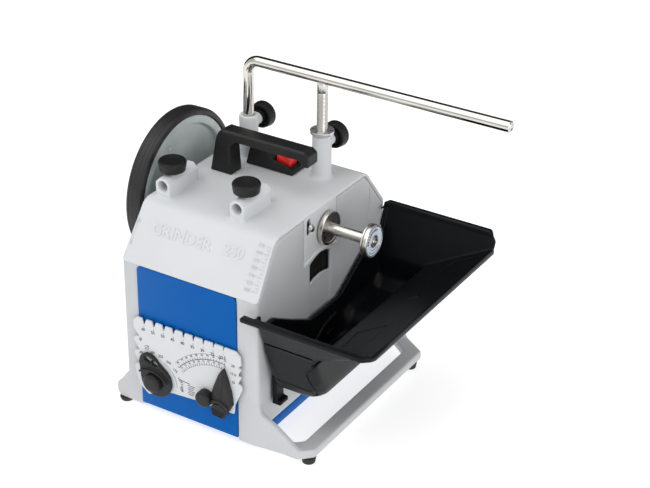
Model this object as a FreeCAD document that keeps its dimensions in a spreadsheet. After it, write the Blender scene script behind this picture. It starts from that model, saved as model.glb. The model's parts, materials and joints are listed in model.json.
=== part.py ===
import FreeCAD, Part
import os
import re
import Sketcher

# Water-cooled bench grinder for edge tools, shown without its grindstone.
# Millimetres.  The machine datum is the shaft axis (y = 0), the right wall (x = 0) and the floor (z = 0);
# shift_x and shift_y move everything so that the origin is the centre of the box at floor level.

DIMS = {
    # frame and shell
    "shift_x": 12.5, "shift_y": 9.35,
    "body_left": -166.5, "body_right": 3, "body_front": -132, "body_back": 120,
    "flare": 3, "flare_front": -100, "flare_back": 92, "wall": 4,
    "floor_gap": 4, "sheet_high": 19, "knee_z": 176.5, "top_z": 233, "slope_front": -93, "slope_back": 84,
    "rear_knee_z": 184, "border": 25.5, "cover_lap": 5, "cover_thick": 1.6, "corner_round": 5, "slope_round": 16,
    # shaft and what sits on it
    "shaft_z": 205, "shaft_rad": 6, "shaft_left": -206, "shaft_end": 62, "bush_rad": 10, "bush_len": 24,
    "flange_rad": 18.5, "flange_near": -1.6, "flange_len": 5,
    "nut_x": 52, "nut_len": 7.3, "nut_rad": 18, "washer_len": 1.9, "label_len": 0.5,
    "relief_wide": 1, "relief_deep": 0.3, "stop_line": 9,
    "wheel_left": -196, "wheel_right": -175.5, "wheel_rad": 85, "rim_rad": 77.5, "web_rad": 68,
    "tongue_front": -40, "tongue_back": 23.5, "tongue_low": 176, "tongue_arch": 5.5,
    # tool rest
    "rest_y": 49.8, "rest_left": -128.7, "rest_right": -35.9, "rest_rad": 6, "arm_z": 345.6, "arm_end": 181,
    "arm_bend": 14, "leg_low": 205, "sleeve_rad": 10.5, "sleeve_top": 282, "sleeve_low": 205,
    "adjust_rad": 13, "adjust_len": 4.8, "fit_gap": 0.05, "gap": 0.3,
    # level sleeves at the front of the top
    "block_left": -147.8, "block_right": -55.3, "block_wide": 17.5, "block_front": -82, "block_back": -30,
    "block_top": 254, "bore_z": 245, "block_cut": 5, "block_knob_y": -63,
    # lock knobs
    "knob_rad": 15.2, "knob_len": 14.5, "knob_neck": 7.5, "neck_len": 2.5, "stud_rad": 4, "rear_knob_z": 271,
    "rear_knob_y": 68,
    # carrying handle and switch
    "handle_front": -2, "handle_deep": 20, "handle_top": 283.5, "handle_under": 272.5,
    "switch_front": 31, "switch_deep": 25,
    # drive
    "motor_y": 22, "motor_z": 116.35, "motor_rad": 46, "rotor_rad": 24, "stack_left": -112, "stack_len": 48,
    "bell_len": 13, "spindle_left": -197, "spindle_end": -42, "pivot_y": 84, "pivot_z": 60, "pivot_rad": 4,
    # base loop and feet
    "loop_in": 46, "loop_out": 64, "loop_low": 7, "loop_high": 17.5, "loop_back": 128,
    "foot_rad": 8, "foot_high": 6,
    # water trough
    "trough_in": 3.4, "trough_bowl": 66, "trough_out": 140, "trough_floor": 60, "trough_bend": 127,
    "trough_rim": 165, "trough_wall": 3, "trough_front": -124, "trough_back": 104,
    # angle gauge
    "plate_y": -136.9, "plate_thick": 2.6, "pivot_x": -41, "pointer_z": 31, "cam_x": -123.3, "cam_z": 46.1,
}

doc = FreeCAD.newDocument("grinder")
sheet = doc.addObject("Spreadsheet::Sheet", "dims")
for row, (alias, value) in enumerate(DIMS.items(), start=1):
    sheet.set("A%d" % row, alias)
    sheet.set("B%d" % row, str(value))
    sheet.setAlias("B%d" % row, alias)
doc.recompute()

WORD = re.compile(r"[a-z_][a-z_0-9]*")
PLANE_TURN = {"XY": "XY_Plane", "XZ": "XZ_Plane", "YZ": "YZ_Plane"}
AXIS_TURN = {
    "X": FreeCAD.Rotation(FreeCAD.Vector(0, 1, 0), 90),
    "Y": FreeCAD.Rotation(FreeCAD.Vector(1, 0, 0), -90),
    "Z": FreeCAD.Rotation(),
}
sub_parts = []


def bound(expression):
    """A formula over the sheet's aliases, written the way setExpression wants it."""
    return WORD.sub(lambda word: "dims." + word.group(0) if word.group(0) in DIMS else word.group(0),
                    str(expression))


def value(expression):
    """The same formula as a number."""
    return float(sheet.evalExpression(str(expression)))


def put(obj, x, y, z, axis="Z"):
    """Place an object at a point of the machine datum, turned so that its own Z lies along axis."""
    obj.Placement = FreeCAD.Placement(FreeCAD.Vector(), AXIS_TURN[axis])
    obj.setExpression("Placement.Base.x", bound("shift_x + (%s)" % x))
    obj.setExpression("Placement.Base.y", bound("shift_y + (%s)" % y))
    obj.setExpression("Placement.Base.z", bound(z))
    return obj


def block(name, low, size):
    """A box from its low corner and its size."""
    obj = doc.addObject("Part::Box", name)
    for side, length in zip(("Length", "Width", "Height"), size):
        obj.setExpression(side, bound(length))
    return put(obj, *low)


def rod(name, axis, start, radius, length):
    """A cylinder that starts at a point and runs along +axis."""
    obj = doc.addObject("Part::Cylinder", name)
    obj.setExpression("Radius", bound(radius))
    obj.setExpression("Height", bound(length))
    return put(obj, *start, axis=axis)


def taper(name, axis, start, radius_start, radius_end, length):
    """A cone frustum that starts at a point and runs along +axis."""
    obj = doc.addObject("Part::Cone", name)
    obj.setExpression("Radius1", bound(radius_start))
    obj.setExpression("Radius2", bound(radius_end))
    obj.setExpression("Height", bound(length))
    return put(obj, *start, axis=axis)


def outline(body, plane, corners):
    """A closed polygon whose every corner is bound to the sheet."""
    sketch = body.newObject("Sketcher::SketchObject", body.Name + "_outline")
    support = [item for item in body.Origin.OriginFeatures if item.Role == PLANE_TURN[plane]][0]
    sketch.AttachmentSupport = [(support, "")]
    sketch.MapMode = "FlatFace"
    spots = [(value(across), value(up)) for across, up in corners]
    count = len(spots)
    for index in range(count):
        start = FreeCAD.Vector(*spots[index], 0)
        end = FreeCAD.Vector(*spots[(index + 1) % count], 0)
        sketch.addGeometry(Part.LineSegment(start, end))
    for index in range(count):
        sketch.addConstraint(Sketcher.Constraint("Coincident", index, 2, (index + 1) % count, 1))
    for index, corner in enumerate(corners):
        for kind, formula, number in zip(("DistanceX", "DistanceY"), corner, spots[index]):
            item = sketch.addConstraint(Sketcher.Constraint(kind, -1, 1, index, 1, number))
            sketch.setExpression("Constraints[%d]" % item, bound(formula))
    return sketch


def prism(name, plane, corners, start, length):
    """A padded outline: XY grows up from start, YZ grows right from start, XZ grows back from start."""
    body = doc.addObject("PartDesign::Body", name)
    pad = body.newObject("PartDesign::Pad", name + "_pad")
    pad.Profile = outline(body, plane, corners)
    pad.setExpression("Length", bound(length))
    place = {"XY": (0, 0, start), "YZ": (start, 0, 0), "XZ": (0, "(%s) + (%s)" % (start, length), 0)}[plane]
    return put(body, *place)


def fuse(name, shapes):
    obj = doc.addObject("Part::MultiFuse", name)
    obj.Shapes = shapes
    obj.Refine = True
    return obj


def cut(name, base, tools):
    obj = doc.addObject("Part::Cut", name)
    obj.Base = base
    obj.Tool = tools[0] if len(tools) == 1 else fuse(name + "_tools", tools)
    obj.Refine = True
    return obj


def common(name, shapes):
    obj = doc.addObject("Part::MultiCommon", name)
    obj.Shapes = shapes
    obj.Refine = True
    return obj


def group(name, shapes):
    """Identical pieces that share one node, kept as separate solids."""
    obj = doc.addObject("Part::Compound", name)
    obj.Links = shapes
    return obj


def soften(name, base, radius, wanted):
    """Round the edges that wanted(middle point, direction, edge) picks; the point is in the machine datum."""
    doc.recompute()
    shift = FreeCAD.Vector(value("shift_x"), value("shift_y"), 0)
    picked = []
    for index, edge in enumerate(base.Shape.Edges, start=1):
        first, last = edge.FirstParameter, edge.LastParameter
        middle = edge.valueAt((first + last) / 2) - shift
        direction = edge.tangentAt((first + last) / 2)
        if wanted(middle, direction, edge):
            picked.append((index, value(radius), value(radius)))
    obj = doc.addObject("Part::Fillet", name)
    obj.Base = base
    obj.Edges = picked
    return obj


def near(first, second, reach=0.6):
    return abs(first - second) < reach


def along(direction, axis):
    return abs(getattr(direction, axis)) > 0.99


def is_circle(edge, radius):
    return isinstance(edge.Curve, Part.Circle) and near(edge.Curve.Radius, value(radius), 0.05)


def sub_part(label, obj):
    """Name a finished piece."""
    obj.Label = label
    sub_parts.append(obj)
    return obj


# ---------------------------------------------------------------- shell

def profile(inset):
    """Side outline of the shell above the knees, drawn in by inset."""
    return [
        ("body_front + %s * 1.13" % inset, "knee_z"),
        ("slope_front + %s * 0.63" % inset, "top_z - %s" % inset),
        ("slope_back - %s * 0.55" % inset, "top_z - %s" % inset),
        ("body_back - %s" % inset, "rear_knee_z - %s * 0.45" % inset),
        ("body_back - %s" % inset, "knee_z"),
    ]


def plan(inset):
    """Plan outline of the whole shell, drawn in by inset: flat walls that flare at the corners."""
    return [
        ("body_left + %s" % inset, "body_front + %s" % inset),
        ("body_right - %s" % inset, "body_front + %s" % inset),
        ("body_right - flare - %s" % inset, "flare_front"),
        ("body_right - flare - %s" % inset, "flare_back"),
        ("body_right - %s" % inset, "body_back - %s" % inset),
        ("body_left + %s" % inset, "body_back - %s" % inset),
        ("body_left + flare + %s" % inset, "flare_back"), ("body_left + flare + %s" % inset, "flare_front"),
    ]


def roof_edge(height):
    """Picks the two long edges where the roof meets its slopes."""
    return lambda middle, direction, edge: along(direction, "x") and near(middle.z, value(height))


def top_casting():
    """Die-cast top: roof and slopes, two shaft tongues, two upright and two level sleeves."""
    span = "body_right - body_left"
    outer = soften("roof_outer", prism("roof_block", "YZ", profile("0"), "body_left", span), "slope_round",
                   roof_edge("top_z"))
    plan_block = prism("roof_plan", "XY", plan("0"), "knee_z - 1", "top_z - knee_z + 2")
    hollow = roof_hollow("body_left - 1", span + " + 2")
    roof = cut("roof", common("roof_flared", [outer, plan_block]), [hollow])
    pieces = [roof]
    for side, wall_x in (("left", "body_left + flare"), ("right", "body_right - flare - wall")):
        tongue = prism("tongue_" + side, "YZ", tongue_outline(), wall_x, "wall")
        boss_x = "body_left + flare + wall" if side == "left" else "body_right - flare - wall - bush_len + 4"
        pieces += [tongue, rod("boss_" + side, "X", (boss_x, 0, "shaft_z"), "bush_rad + 6", "bush_len - 4")]
    for side in ("left", "right"):
        pieces.append(rod("sleeve_" + side, "Z", ("rest_" + side, "rest_y", "sleeve_low"), "sleeve_rad",
                          "sleeve_top - sleeve_low"))
        pieces.append(level_sleeve(side))
        pieces.append(rod("knob_pad_" + side, "Y", ("rest_" + side, "rest_y", "rear_knob_z"), 7,
                          "rear_knob_y - rest_y - 1"))
    body = soften("casting_flares", fuse("casting_body", pieces), "4", lambda middle, direction, edge: (
        is_circle(edge, "sleeve_rad") and near(middle.z, value("top_z"))))
    tools = []
    for side in ("left", "right"):
        tools.append(rod("rest_bore_" + side, "Z", ("rest_" + side, "rest_y", "sleeve_low - 1"),
                         "rest_rad + fit_gap",
                         "sleeve_top - sleeve_low + 2"))
        tools.append(rod("level_bore_" + side, "Y", ("block_" + side, "block_front - 1", "bore_z"),
                         "rest_rad + fit_gap", "block_back - block_front + 2"))
        tools.append(rod("level_stud_hole_" + side, "Z", ("block_" + side, "block_knob_y", "bore_z"),
                         "stud_rad + fit_gap", "block_top - bore_z + 1"))
        tools.append(rod("rear_stud_hole_" + side, "Y", ("rest_" + side, "rest_y", "rear_knob_z"),
                         "stud_rad + fit_gap", "rear_knob_y - rest_y"))
    tools.append(rod("bush_bore", "X", ("body_left - 1", 0, "shaft_z"), "bush_rad", span + " + 2"))
    tools.append(block("switch_hole", ("-101", "switch_front + 3", "top_z - wall - 1"),
                       (34, "switch_deep - 6", 6)))
    tools.append(block("key_slot", ("body_right - flare - wall - 1", -34.5, 212), ("wall + 2", 7, 11)))
    tools.append(rod("key_slot_top", "X", ("body_right - flare - wall - 1", -31, 223), 3.5, "wall + 2"))
    tools.append(rod("key_slot_low", "X", ("body_right - flare - wall - 1", -31, 212), 3.5, "wall + 2"))
    sub_part("top_casting", cut("casting", body, tools))


def roof_hollow(start, length):
    """The space under the roof, rounded like the roof so that its wall keeps one thickness."""
    name = "hollow_%d" % len(doc.Objects)
    return soften(name + "_soft", prism(name, "YZ", profile("wall"), start, length), "slope_round - wall",
                  roof_edge("top_z - wall"))


def tongue_outline(grow="0"):
    """Side outline of a shaft tongue: straight sides and an arched lower edge."""
    middle = "(tongue_front + tongue_back) / 2"
    quarter = "(tongue_back - tongue_front) / 4"
    return [
        ("tongue_front - %s" % grow, "top_z - wall + 1"),
        ("tongue_front - %s" % grow, "tongue_low - %s" % grow),
        ("%s - %s" % (middle, quarter), "tongue_low + tongue_arch * 0.78 - %s" % grow),
        (middle, "tongue_low + tongue_arch - %s" % grow),
        ("%s + %s" % (middle, quarter), "tongue_low + tongue_arch * 0.78 - %s" % grow),
        ("tongue_back + %s" % grow, "tongue_low - %s" % grow),
        ("tongue_back + %s" % grow, "top_z - wall + 1"),
    ]


def level_sleeve(side):
    """A block with a level bore and chamfered top corners, standing on the roof."""
    centre = "block_" + side
    half = "block_wide / 2"
    return prism("level_block_" + side, "XZ", [
        ("%s - %s" % (centre, half), "top_z - 2"), ("%s + %s" % (centre, half), "top_z - 2"),
        ("%s + %s" % (centre, half), "block_top - block_cut"),
        ("%s + %s - block_cut" % (centre, half), "block_top"),
        ("%s - %s + block_cut" % (centre, half), "block_top"),
        ("%s - %s" % (centre, half), "block_top - block_cut"),
    ], "block_front", "block_back - block_front")


def side_ring(name, outer_x, inner_x, sign):
    """Wall of one side frame in plan: front border, flared wall and rear border."""
    far = "%s - (%s) * border" % (outer_x, sign)
    flat = "%s - (%s) * flare" % (outer_x, sign)
    thin = "(%s) * wall" % sign
    return prism(name, "XY", [
        (far, "body_front"), (outer_x, "body_front"), (flat, "flare_front"), (flat, "flare_back"),
        (outer_x, "body_back"), (far, "body_back"), (far, "body_back - wall"),
        ("%s - %s" % (outer_x, thin), "body_back - wall"), ("%s - %s" % (flat, thin), "flare_back"),
        ("%s - %s" % (flat, thin), "flare_front"), ("%s - %s" % (outer_x, thin), "body_front + wall"),
        (far, "body_front + wall"),
    ], "floor_gap", "top_z - floor_gap")


def under_roof(name, ring):
    """Trim a side frame to the inside of the roof."""
    lower = prism(name + "_lower", "YZ", [
        ("body_front", "floor_gap"), ("body_front", "knee_z"), ("body_back", "knee_z"),
        ("body_back", "floor_gap")],
        "body_left", "body_right - body_left")
    room = fuse(name + "_room", [lower, roof_hollow("body_left", "body_right - body_left")])
    return common(name, [ring, room])


def corner_edge(sign_x):
    return lambda middle, direction, edge: (
        along(direction, "z") and near(middle.x, sign_x, 0.3)
        and (near(middle.y, value("body_front"), 0.3) or near(middle.y, value("body_back"), 0.3)))


def right_side_frame():
    """Right wall with its window and recessed column, and the loop that keeps the trough off the bench."""
    full = under_roof("right_full", soften("right_ring_soft",
                                           side_ring("right_ring", "body_right", "0", "1"),
                                           "corner_round", corner_edge(value("body_right"))))
    ring = cut("right_wall", full, [block("right_wall_foot", ("body_right - 8", "body_front + 27", 0),
                                          (12, "body_back - body_front - 47", "sheet_high"))])
    loop = prism("base_loop", "XY", [
        ("body_right - 7", "body_front"), ("loop_out - 10", "body_front + 3"),
        ("loop_out", "body_front + 13"),
        ("loop_out", "loop_back - 23"), ("loop_out - 36", "loop_back"), ("body_right - 7", "loop_back"),
        ("body_right - 7", "loop_back - 14"), ("loop_out - 42", "loop_back - 14"),
        ("loop_in", "loop_back - 32"),
        ("loop_in", "body_front + 22"), ("loop_in - 7", "body_front + 15"),
        ("body_right - 7", "body_front + 12"),
    ], "loop_low", "loop_high - loop_low")
    gusset_corners = [("body_right - 6", "floor_gap"), ("loop_in - 16", "loop_low"),
                      ("loop_out - 12", "loop_low"),
                      ("loop_out - 12", "loop_high"), ("body_right + 20", 38), ("body_right + 3", 46),
                      ("body_right", 54), ("body_right - 6", 54)]
    front_gusset = prism("front_gusset", "XZ", gusset_corners, "body_front", "7")
    rear_gusset = prism("rear_gusset", "XZ", gusset_corners[:2] + [("loop_in - 12", "loop_low"),
                        ("loop_in - 12", "loop_high")] + gusset_corners[4:], "body_back - 2", "8")
    ledges = [block("trough_ledge_front", ("body_right - flare - 1", -90, "trough_floor - 5.3"),
                    (9, 50, 5)),
              block("trough_ledge_rear", ("body_right - flare - 1", 10, "trough_floor - 5.3"), (9, 40, 5))]
    boss = rod("right_pivot_boss", "X", ("body_right - flare - wall - 6", "pivot_y", "pivot_z"),
               "pivot_rad + 4", 8)
    body = fuse("right_frame_body", [ring, loop, front_gusset, rear_gusset, boss] + ledges)
    wall_x = "body_right - flare - wall - 1"
    window = prism("window", "YZ", [(-28, 146), (-28, 172), (-18, 176.4), (-8, 178), (2, 176.4), (11, 173),
                                    (11, 146), (2, 150), (-8, 151.5), (-18, 150)], wall_x, "wall + 2")
    column = block("column_recess", ("body_right - flare - 1.4", -27, 58), (3, 38, 90))
    tongue = prism("right_tongue_hole", "YZ", tongue_outline(), wall_x, "wall + 2")
    pin_hole = rod("right_pivot_hole", "X", ("body_right - flare - wall - 7", "pivot_y", "pivot_z"),
                   "pivot_rad", 8)
    sub_part("right_side_frame", cut("right_frame", body, [window, column, tongue, pin_hole]))


def window_grille():
    """Black ribbed plate behind the window in the right wall."""
    plate_x = "body_right - flare - wall - gap - 2.2"
    plate = block("grille_plate", (plate_x, -31, 143), ("1.2", 45, 38))
    ribs = [block("grille_rib_%d" % turn, (plate_x, "-27 + %d" % (turn * 7), 145), ("2.2", 1.6, 34))
            for turn in range(6)]
    sub_part("window_grille", fuse("grille", [plate] + ribs))


def left_side_frame():
    """Left wall with its flared skirt and the opening that the motor spindle passes through."""
    ring = under_roof("left_wall", soften("left_ring_soft", side_ring("left_ring", "body_left", "0", "-1"),
                                          "corner_round", corner_edge(value("body_left"))))
    skirt = prism("skirt", "XZ", [
        ("body_left + wall", "floor_gap"), ("body_left - 10", "floor_gap"), ("body_left - 14.5", 10),
        ("body_left - 14.5", 20), ("body_left - 8", 27), ("body_left", 38), ("body_left + wall", 38),
    ], "body_front", "body_back - body_front")
    boss = rod("left_pivot_boss", "X", ("body_left + flare", "pivot_y", "pivot_z"), "pivot_rad + 4", 11)
    body = fuse("left_frame_body", [ring, skirt, boss])
    wall_x = "body_left + flare - 1"
    spindle_hole = rod("spindle_hole", "X", (wall_x, "motor_y", "motor_z"), "shaft_rad + 8", "wall + 2")
    tongue = prism("left_tongue_hole", "YZ", tongue_outline(), wall_x, "wall + 2")
    pin_hole = rod("left_pivot_hole", "X", ("body_left + flare + 4", "pivot_y", "pivot_z"), "pivot_rad", 8)
    laps = [block("cover_lap_%d" % turn, ("body_left + border - cover_lap - gap", y, "floor_gap"),
                  ("cover_lap + gap + 1", "cover_thick", "knee_z - floor_gap"))
            for turn, y in enumerate(("body_front - 0.5", "body_back - 1.1"))]
    sub_part("left_side_frame", cut("left_frame", body, [spindle_hole, tongue, pin_hole] + laps))


def blue_cover_sheet():
    """One folded steel sheet: front panel, floor and rear panel, with air slots and a cable hole at the back."""
    low_x = "body_left + border - cover_lap"
    wide = "body_right - body_left - border * 2 + cover_lap"
    front = prism("cover_front", "XZ", [
        (low_x, 8), ("%s + %s" % (low_x, wide), 8), ("%s + %s" % (low_x, wide), "knee_z - 3.4"),
        ("%s + %s - 3" % (low_x, wide), "knee_z - 0.4"), ("%s + 3" % low_x, "knee_z - 0.4"),
        (low_x, "knee_z - 3.4"),
    ], "body_front - 0.5", "cover_thick")
    floor = block("cover_floor", ("body_left + flare + wall + gap", "body_front + wall + gap", 8),
                  ("body_right - body_left - flare * 2 - wall * 2 - gap * 2",
                   "body_back - body_front - wall * 2 - gap * 2", "cover_thick"))
    middle = block("cover_floor_middle", ("body_left + border + gap", "body_front + 0.8", 8),
                   ("body_right - body_left - border * 2 - gap * 2", "body_back - body_front - 1.6",
                    "cover_thick"))
    tab = block("cover_tab", ("body_right - flare - wall - gap - 1", "body_front + 27.3", 8),
                ("wall + 1", "body_back - body_front - 47.6", "cover_thick"))
    flange = block("cover_flange", ("body_right - flare - gap - cover_thick", "body_front + 27.3", 8),
                   ("cover_thick", "body_back - body_front - 47.6", "sheet_high - 8"))
    rear = block("cover_rear", (low_x, "body_back - 1.1", 8), (wide, "cover_thick", "knee_z - 8.4"))
    slots = [block("air_slot_%d" % turn, ("-125 + %d" % (turn * 12), "body_back - 3", 110), (5, 6, 40))
             for turn in range(8)]
    cable_hole = rod("cable_hole", "Y", (-124, "body_back - 3", 40), 7.5, 6)
    sub_part("blue_cover_sheet", cut("cover", fuse("cover_body", [front, floor, middle, tab, flange, rear]),
                                     slots + [cable_hole]))


def small_shell_parts():
    """Feet, cable gland, cover screws, shaft bushes and the screw in the key slot."""
    feet = [("body_left - 5", "body_front + 5"), ("body_left - 5", "body_back - 12"),
            ("loop_out - 8", "body_front + 14"), ("loop_out - 8", "loop_back - 34")]
    pads = []
    for turn, (x, y) in enumerate(feet):
        high = "floor_gap" if turn < 2 else "loop_low"
        pads.append(taper("foot_%d" % turn, "Z", (x, y, 0), "foot_rad - 1.2", "foot_rad", high))
    sub_part("rubber_feet", group("feet", pads))

    gland = fuse("gland_body", [rod("gland_neck", "Y", (-124, "body_back - 4", 40), 7.4, 8),
                                rod("gland_flange", "Y", (-124, "body_back + 0.5", 40), 10, 3),
                                taper("gland_nose", "Y", (-124, "body_back + 3.5", 40), 8, 6.5, 6)])
    sub_part("cable_gland", cut("gland", gland,
                                [rod("gland_hole", "Y", (-124, "body_back - 5", 40), 4, 16)]))

    heads = []
    for x in ("body_left + border + 4", "body_right - border - 5"):
        for z in (22, 165):
            heads.append(rod("cover_screw_%d_%d" % (len(heads), z), "Y", (x, "body_back + 0.5", z), 3.6,
                             2.2))
    sub_part("cover_screws", group("cover_screw_set", heads))

    for side, start in (("left", "body_left + flare"), ("right", "body_right - flare - bush_len")):
        ring = rod("bush_%s_blank" % side, "X", (start, 0, "shaft_z"), "bush_rad", "bush_len")
        hole = rod("bush_%s_hole" % side, "X", ("%s - 1" % start, 0, "shaft_z"), "shaft_rad + fit_gap",
                   "bush_len + 2")
        sub_part(side + "_shaft_bush", cut("bush_" + side, ring, [hole]))

    sub_part("key_slot_screw", fuse("key_screw", [
        rod("key_screw_shank", "X", ("body_right - flare - wall - 8", -31, 217.5), 2.4, "wall + 9"),
        taper("key_screw_head", "X", ("body_right - flare + 1", -31, 217.5), 4.4, 3.2, 4)]))


# ---------------------------------------------------------------- shaft, stone flange, nut, drive wheel

def shaft_group():
    """Everything that turns with the stone: shaft, inner flange, drive wheel, tyre and its lock nut."""
    bar = fuse("shaft_body", [
        rod("shaft_rod", "X", ("shaft_left", 0, "shaft_z"), "shaft_rad", "nut_x - shaft_left + 6.6"),
        rod("shaft_tip", "X", ("nut_x + 6.6", 0, "shaft_z"), 4.2, 2)])
    reliefs = [groove("shaft_relief_%d" % turn, start, (0, "shaft_z"), "shaft_rad", "relief_wide")
               for turn, start in enumerate(("flange_near + 4 + flange_len", "nut_x - relief_wide"))]
    sub_part("main_shaft", cut("shaft", bar, reliefs))

    flange = fuse("flange_body", [
        rod("flange_disc", "X", ("flange_near + 4", 0, "shaft_z"), "flange_rad", "flange_len"),
        rod("flange_neck", "X", ("body_right - flare + gap", 0, "shaft_z"), 9, "flange_near + 4 - gap")])
    sub_part("stone_flange", cut("flange", flange, [
        rod("flange_hole", "X", ("body_right - flare", 0, "shaft_z"), "shaft_rad", 20)]))

    disc = fuse("disc_body", [
        cut("disc_rim", rod("disc_blank", "X", ("wheel_left + 1", 0, "shaft_z"), "rim_rad",
                            "wheel_right - wheel_left - 2"),
            [rod("disc_dish_right", "X", ("wheel_right - 6", 0, "shaft_z"), "web_rad", 8),
             rod("disc_dish_left", "X", ("wheel_left", 0, "shaft_z"), "web_rad", 7)]),
        rod("disc_hub", "X", ("wheel_left + 1", 0, "shaft_z"), 16, "wheel_right - wheel_left + 2")])
    disc_rivet = taper("disc_rivet", "X", ("wheel_right - 6.5", -23, "shaft_z + 51"), 3, 2.2, 2.6)
    sub_part("drive_wheel", cut("disc", fuse("disc_whole", [disc, disc_rivet]), [
        rod("disc_hole", "X", ("wheel_left - 1", 0, "shaft_z"), "shaft_rad", 30)]))

    tyre = cut("tyre_ring", rod("tyre_blank", "X", ("wheel_left", 0, "shaft_z"), "wheel_rad",
                                "wheel_right - wheel_left"),
               [rod("tyre_hole", "X", ("wheel_left - 1", 0, "shaft_z"), "rim_rad",
                    "wheel_right - wheel_left + 2")])
    sub_part("drive_tyre", soften("tyre", tyre, "2.2", lambda middle, direction,
                                  edge: is_circle(edge, "wheel_rad")))

    lock = cut("wheel_nut_body", prism("wheel_nut_hex", "YZ", hexagon(9.2), "wheel_left - 6", "7"),
               [rod("wheel_nut_hole", "X", ("wheel_left - 7", 0, "shaft_z"), "shaft_rad", 10)])
    sub_part("wheel_lock_nut", lock)

    sub_part("nut_washer", cut("washer", rod("washer_blank", "X", ("nut_x", 0, "shaft_z"), "nut_rad",
                                             "washer_len"),
                               [rod("washer_hole", "X", ("nut_x - 1", 0, "shaft_z"), "shaft_rad + fit_gap",
                                    "washer_len + 2")]))
    nut = cut("quick_nut_body", rod("quick_nut_blank", "X", ("nut_x + washer_len + 0.1", 0, "shaft_z"),
                                    "nut_rad", "nut_len - label_len - washer_len - 0.1"),
              [rod("quick_nut_thread", "X", ("nut_x - 1", 0, "shaft_z"), "shaft_rad + fit_gap", 7.6),
               rod("quick_nut_eye", "X", ("nut_x", 0, "shaft_z"), 4.6, 12)])
    sub_part("quick_nut", soften("quick_nut_soft", nut, "0.8", lambda middle, direction,
                                 edge: is_circle(edge, "nut_rad")))
    sub_part("nut_label_ring", cut("label_ring",
                                   rod("label_blank", "X", ("nut_x + nut_len - label_len", 0, "shaft_z"),
                                                     "nut_rad - 1.6", "label_len"),
                                   [rod("label_hole", "X", ("nut_x", 0, "shaft_z"), 6.4, 12)]))


def groove(name, start, centre, radius, width):
    """Cutter for a shallow turned groove round a rod that lies along X."""
    return cut(name, rod(name + "_blank", "X", (start,) + centre, "%s + 2" % radius, width),
               [rod(name + "_core", "X", ("%s - 1" % start,) + centre, "%s - relief_deep" % radius,
                    "%s + 2" % width)])


def hexagon(across):
    """Six corners about the shaft axis; across is the corner radius."""
    corners = []
    for factor_y, factor_z in ((1, 0), (0.5, 0.866), (-0.5, 0.866), (-1, 0), (-0.5, -0.866), (0.5, -0.866)):
        corners.append(("%s * %s" % (across, factor_y), "shaft_z + %s * %s" % (across, factor_z)))
    return corners


# ---------------------------------------------------------------- tool rest

def bent_bar():
    """The long arm and the left leg, one rod bent round a quarter turn."""
    obj = doc.addObject("Part::Feature", "rest_bar")
    left, back, high = value("rest_left"), value("rest_y"), value("arm_z")
    bend, low, end = value("arm_bend"), value("leg_low"), value("arm_end")
    corner = FreeCAD.Vector(left + bend, back, high - bend)
    quarter = corner + FreeCAD.Vector(-bend * 0.5 ** 0.5, 0, bend * 0.5 ** 0.5)
    path = Part.Wire([
        Part.LineSegment(FreeCAD.Vector(left, back, low),
                         FreeCAD.Vector(left, back, high - bend)).toShape(),
        Part.Arc(FreeCAD.Vector(left, back, high - bend), quarter,
                 FreeCAD.Vector(left + bend, back, high)).toShape(),
        Part.LineSegment(FreeCAD.Vector(left + bend, back, high),
                         FreeCAD.Vector(end, back, high)).toShape()])
    ring = Part.Wire([Part.makeCircle(value("rest_rad"), FreeCAD.Vector(left, back, low),
                                      FreeCAD.Vector(0, 0, 1))])
    obj.Shape = path.makePipeShell([ring], True, False)
    obj.Placement = FreeCAD.Placement(FreeCAD.Vector(value("shift_x"), value("shift_y"), 0),
                                      FreeCAD.Rotation())
    return obj


def tool_rest():
    bar = bent_bar()
    doc.recompute()
    lined = cut("lined_bar", bar, [groove("bar_stop_line", "rest_right + stop_line", ("rest_y", "arm_z"),
                                          "rest_rad", "relief_wide / 2")])
    sub_part("support_bar", soften("support_bar_soft", lined, "1", lambda middle, direction, edge: (
        is_circle(edge, "rest_rad") and near(middle.x, value("arm_end"), 7) and middle.z > 330)))
    leg = fuse("leg_body", [
        rod("leg_thread", "Z", ("rest_right", "rest_y", "leg_low"), "rest_rad",
            "arm_z - leg_low - rest_rad - 10"),
        rod("leg_neck", "Z", ("rest_right", "rest_y", "leg_low"), "rest_rad - 0.5", "arm_z - leg_low - 2")])
    cutter = rod("leg_saddle", "X", ("rest_right - 20", "rest_y", "arm_z"), "rest_rad", 40)
    sub_part("threaded_leg", cut("leg", leg, [cutter]))
    nut = cut("adjust_blank", fuse("adjust_body", [
        taper("adjust_skirt", "Z", ("rest_right", "rest_y", "sleeve_top + gap"), "adjust_rad - 2.6",
              "adjust_rad - 1.2", 1.4),
        rod("adjust_flange", "Z", ("rest_right", "rest_y", "sleeve_top + gap + 1.4"), "adjust_rad",
            "adjust_len - 1.4")]),
        [rod("adjust_thread", "Z", ("rest_right", "rest_y", "sleeve_top - 1"), "rest_rad + fit_gap", 12)])
    sub_part("height_adjust_nut", nut)


def lock_knob(label, axis, start):
    """A moulded knob that flares outwards, hollow on the side towards its sleeve, and its steel stud."""
    x, y, z = start
    reach = {"Y": lambda by: (x, "(%s) + %s" % (y, by), z),
             "Z": lambda by: (x, y, "(%s) + %s" % (z, by))}[axis]
    body = fuse(label + "_body", [
        rod(label + "_neck", axis, reach("0"), "knob_neck", "neck_len + 6"),
        cut(label + "_shell",
            taper(label + "_cap", axis, reach("neck_len"), "knob_rad - 2", "knob_rad",
                  "knob_len - neck_len"),
            [rod(label + "_hollow", axis, reach("neck_len - 1"), "knob_rad - 4.4", "6")])])
    sub_part(label, cut(label + "_knob", body,
                        [rod(label + "_thread", axis, reach("-1"), "stud_rad", "knob_len - 4")]))


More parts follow.
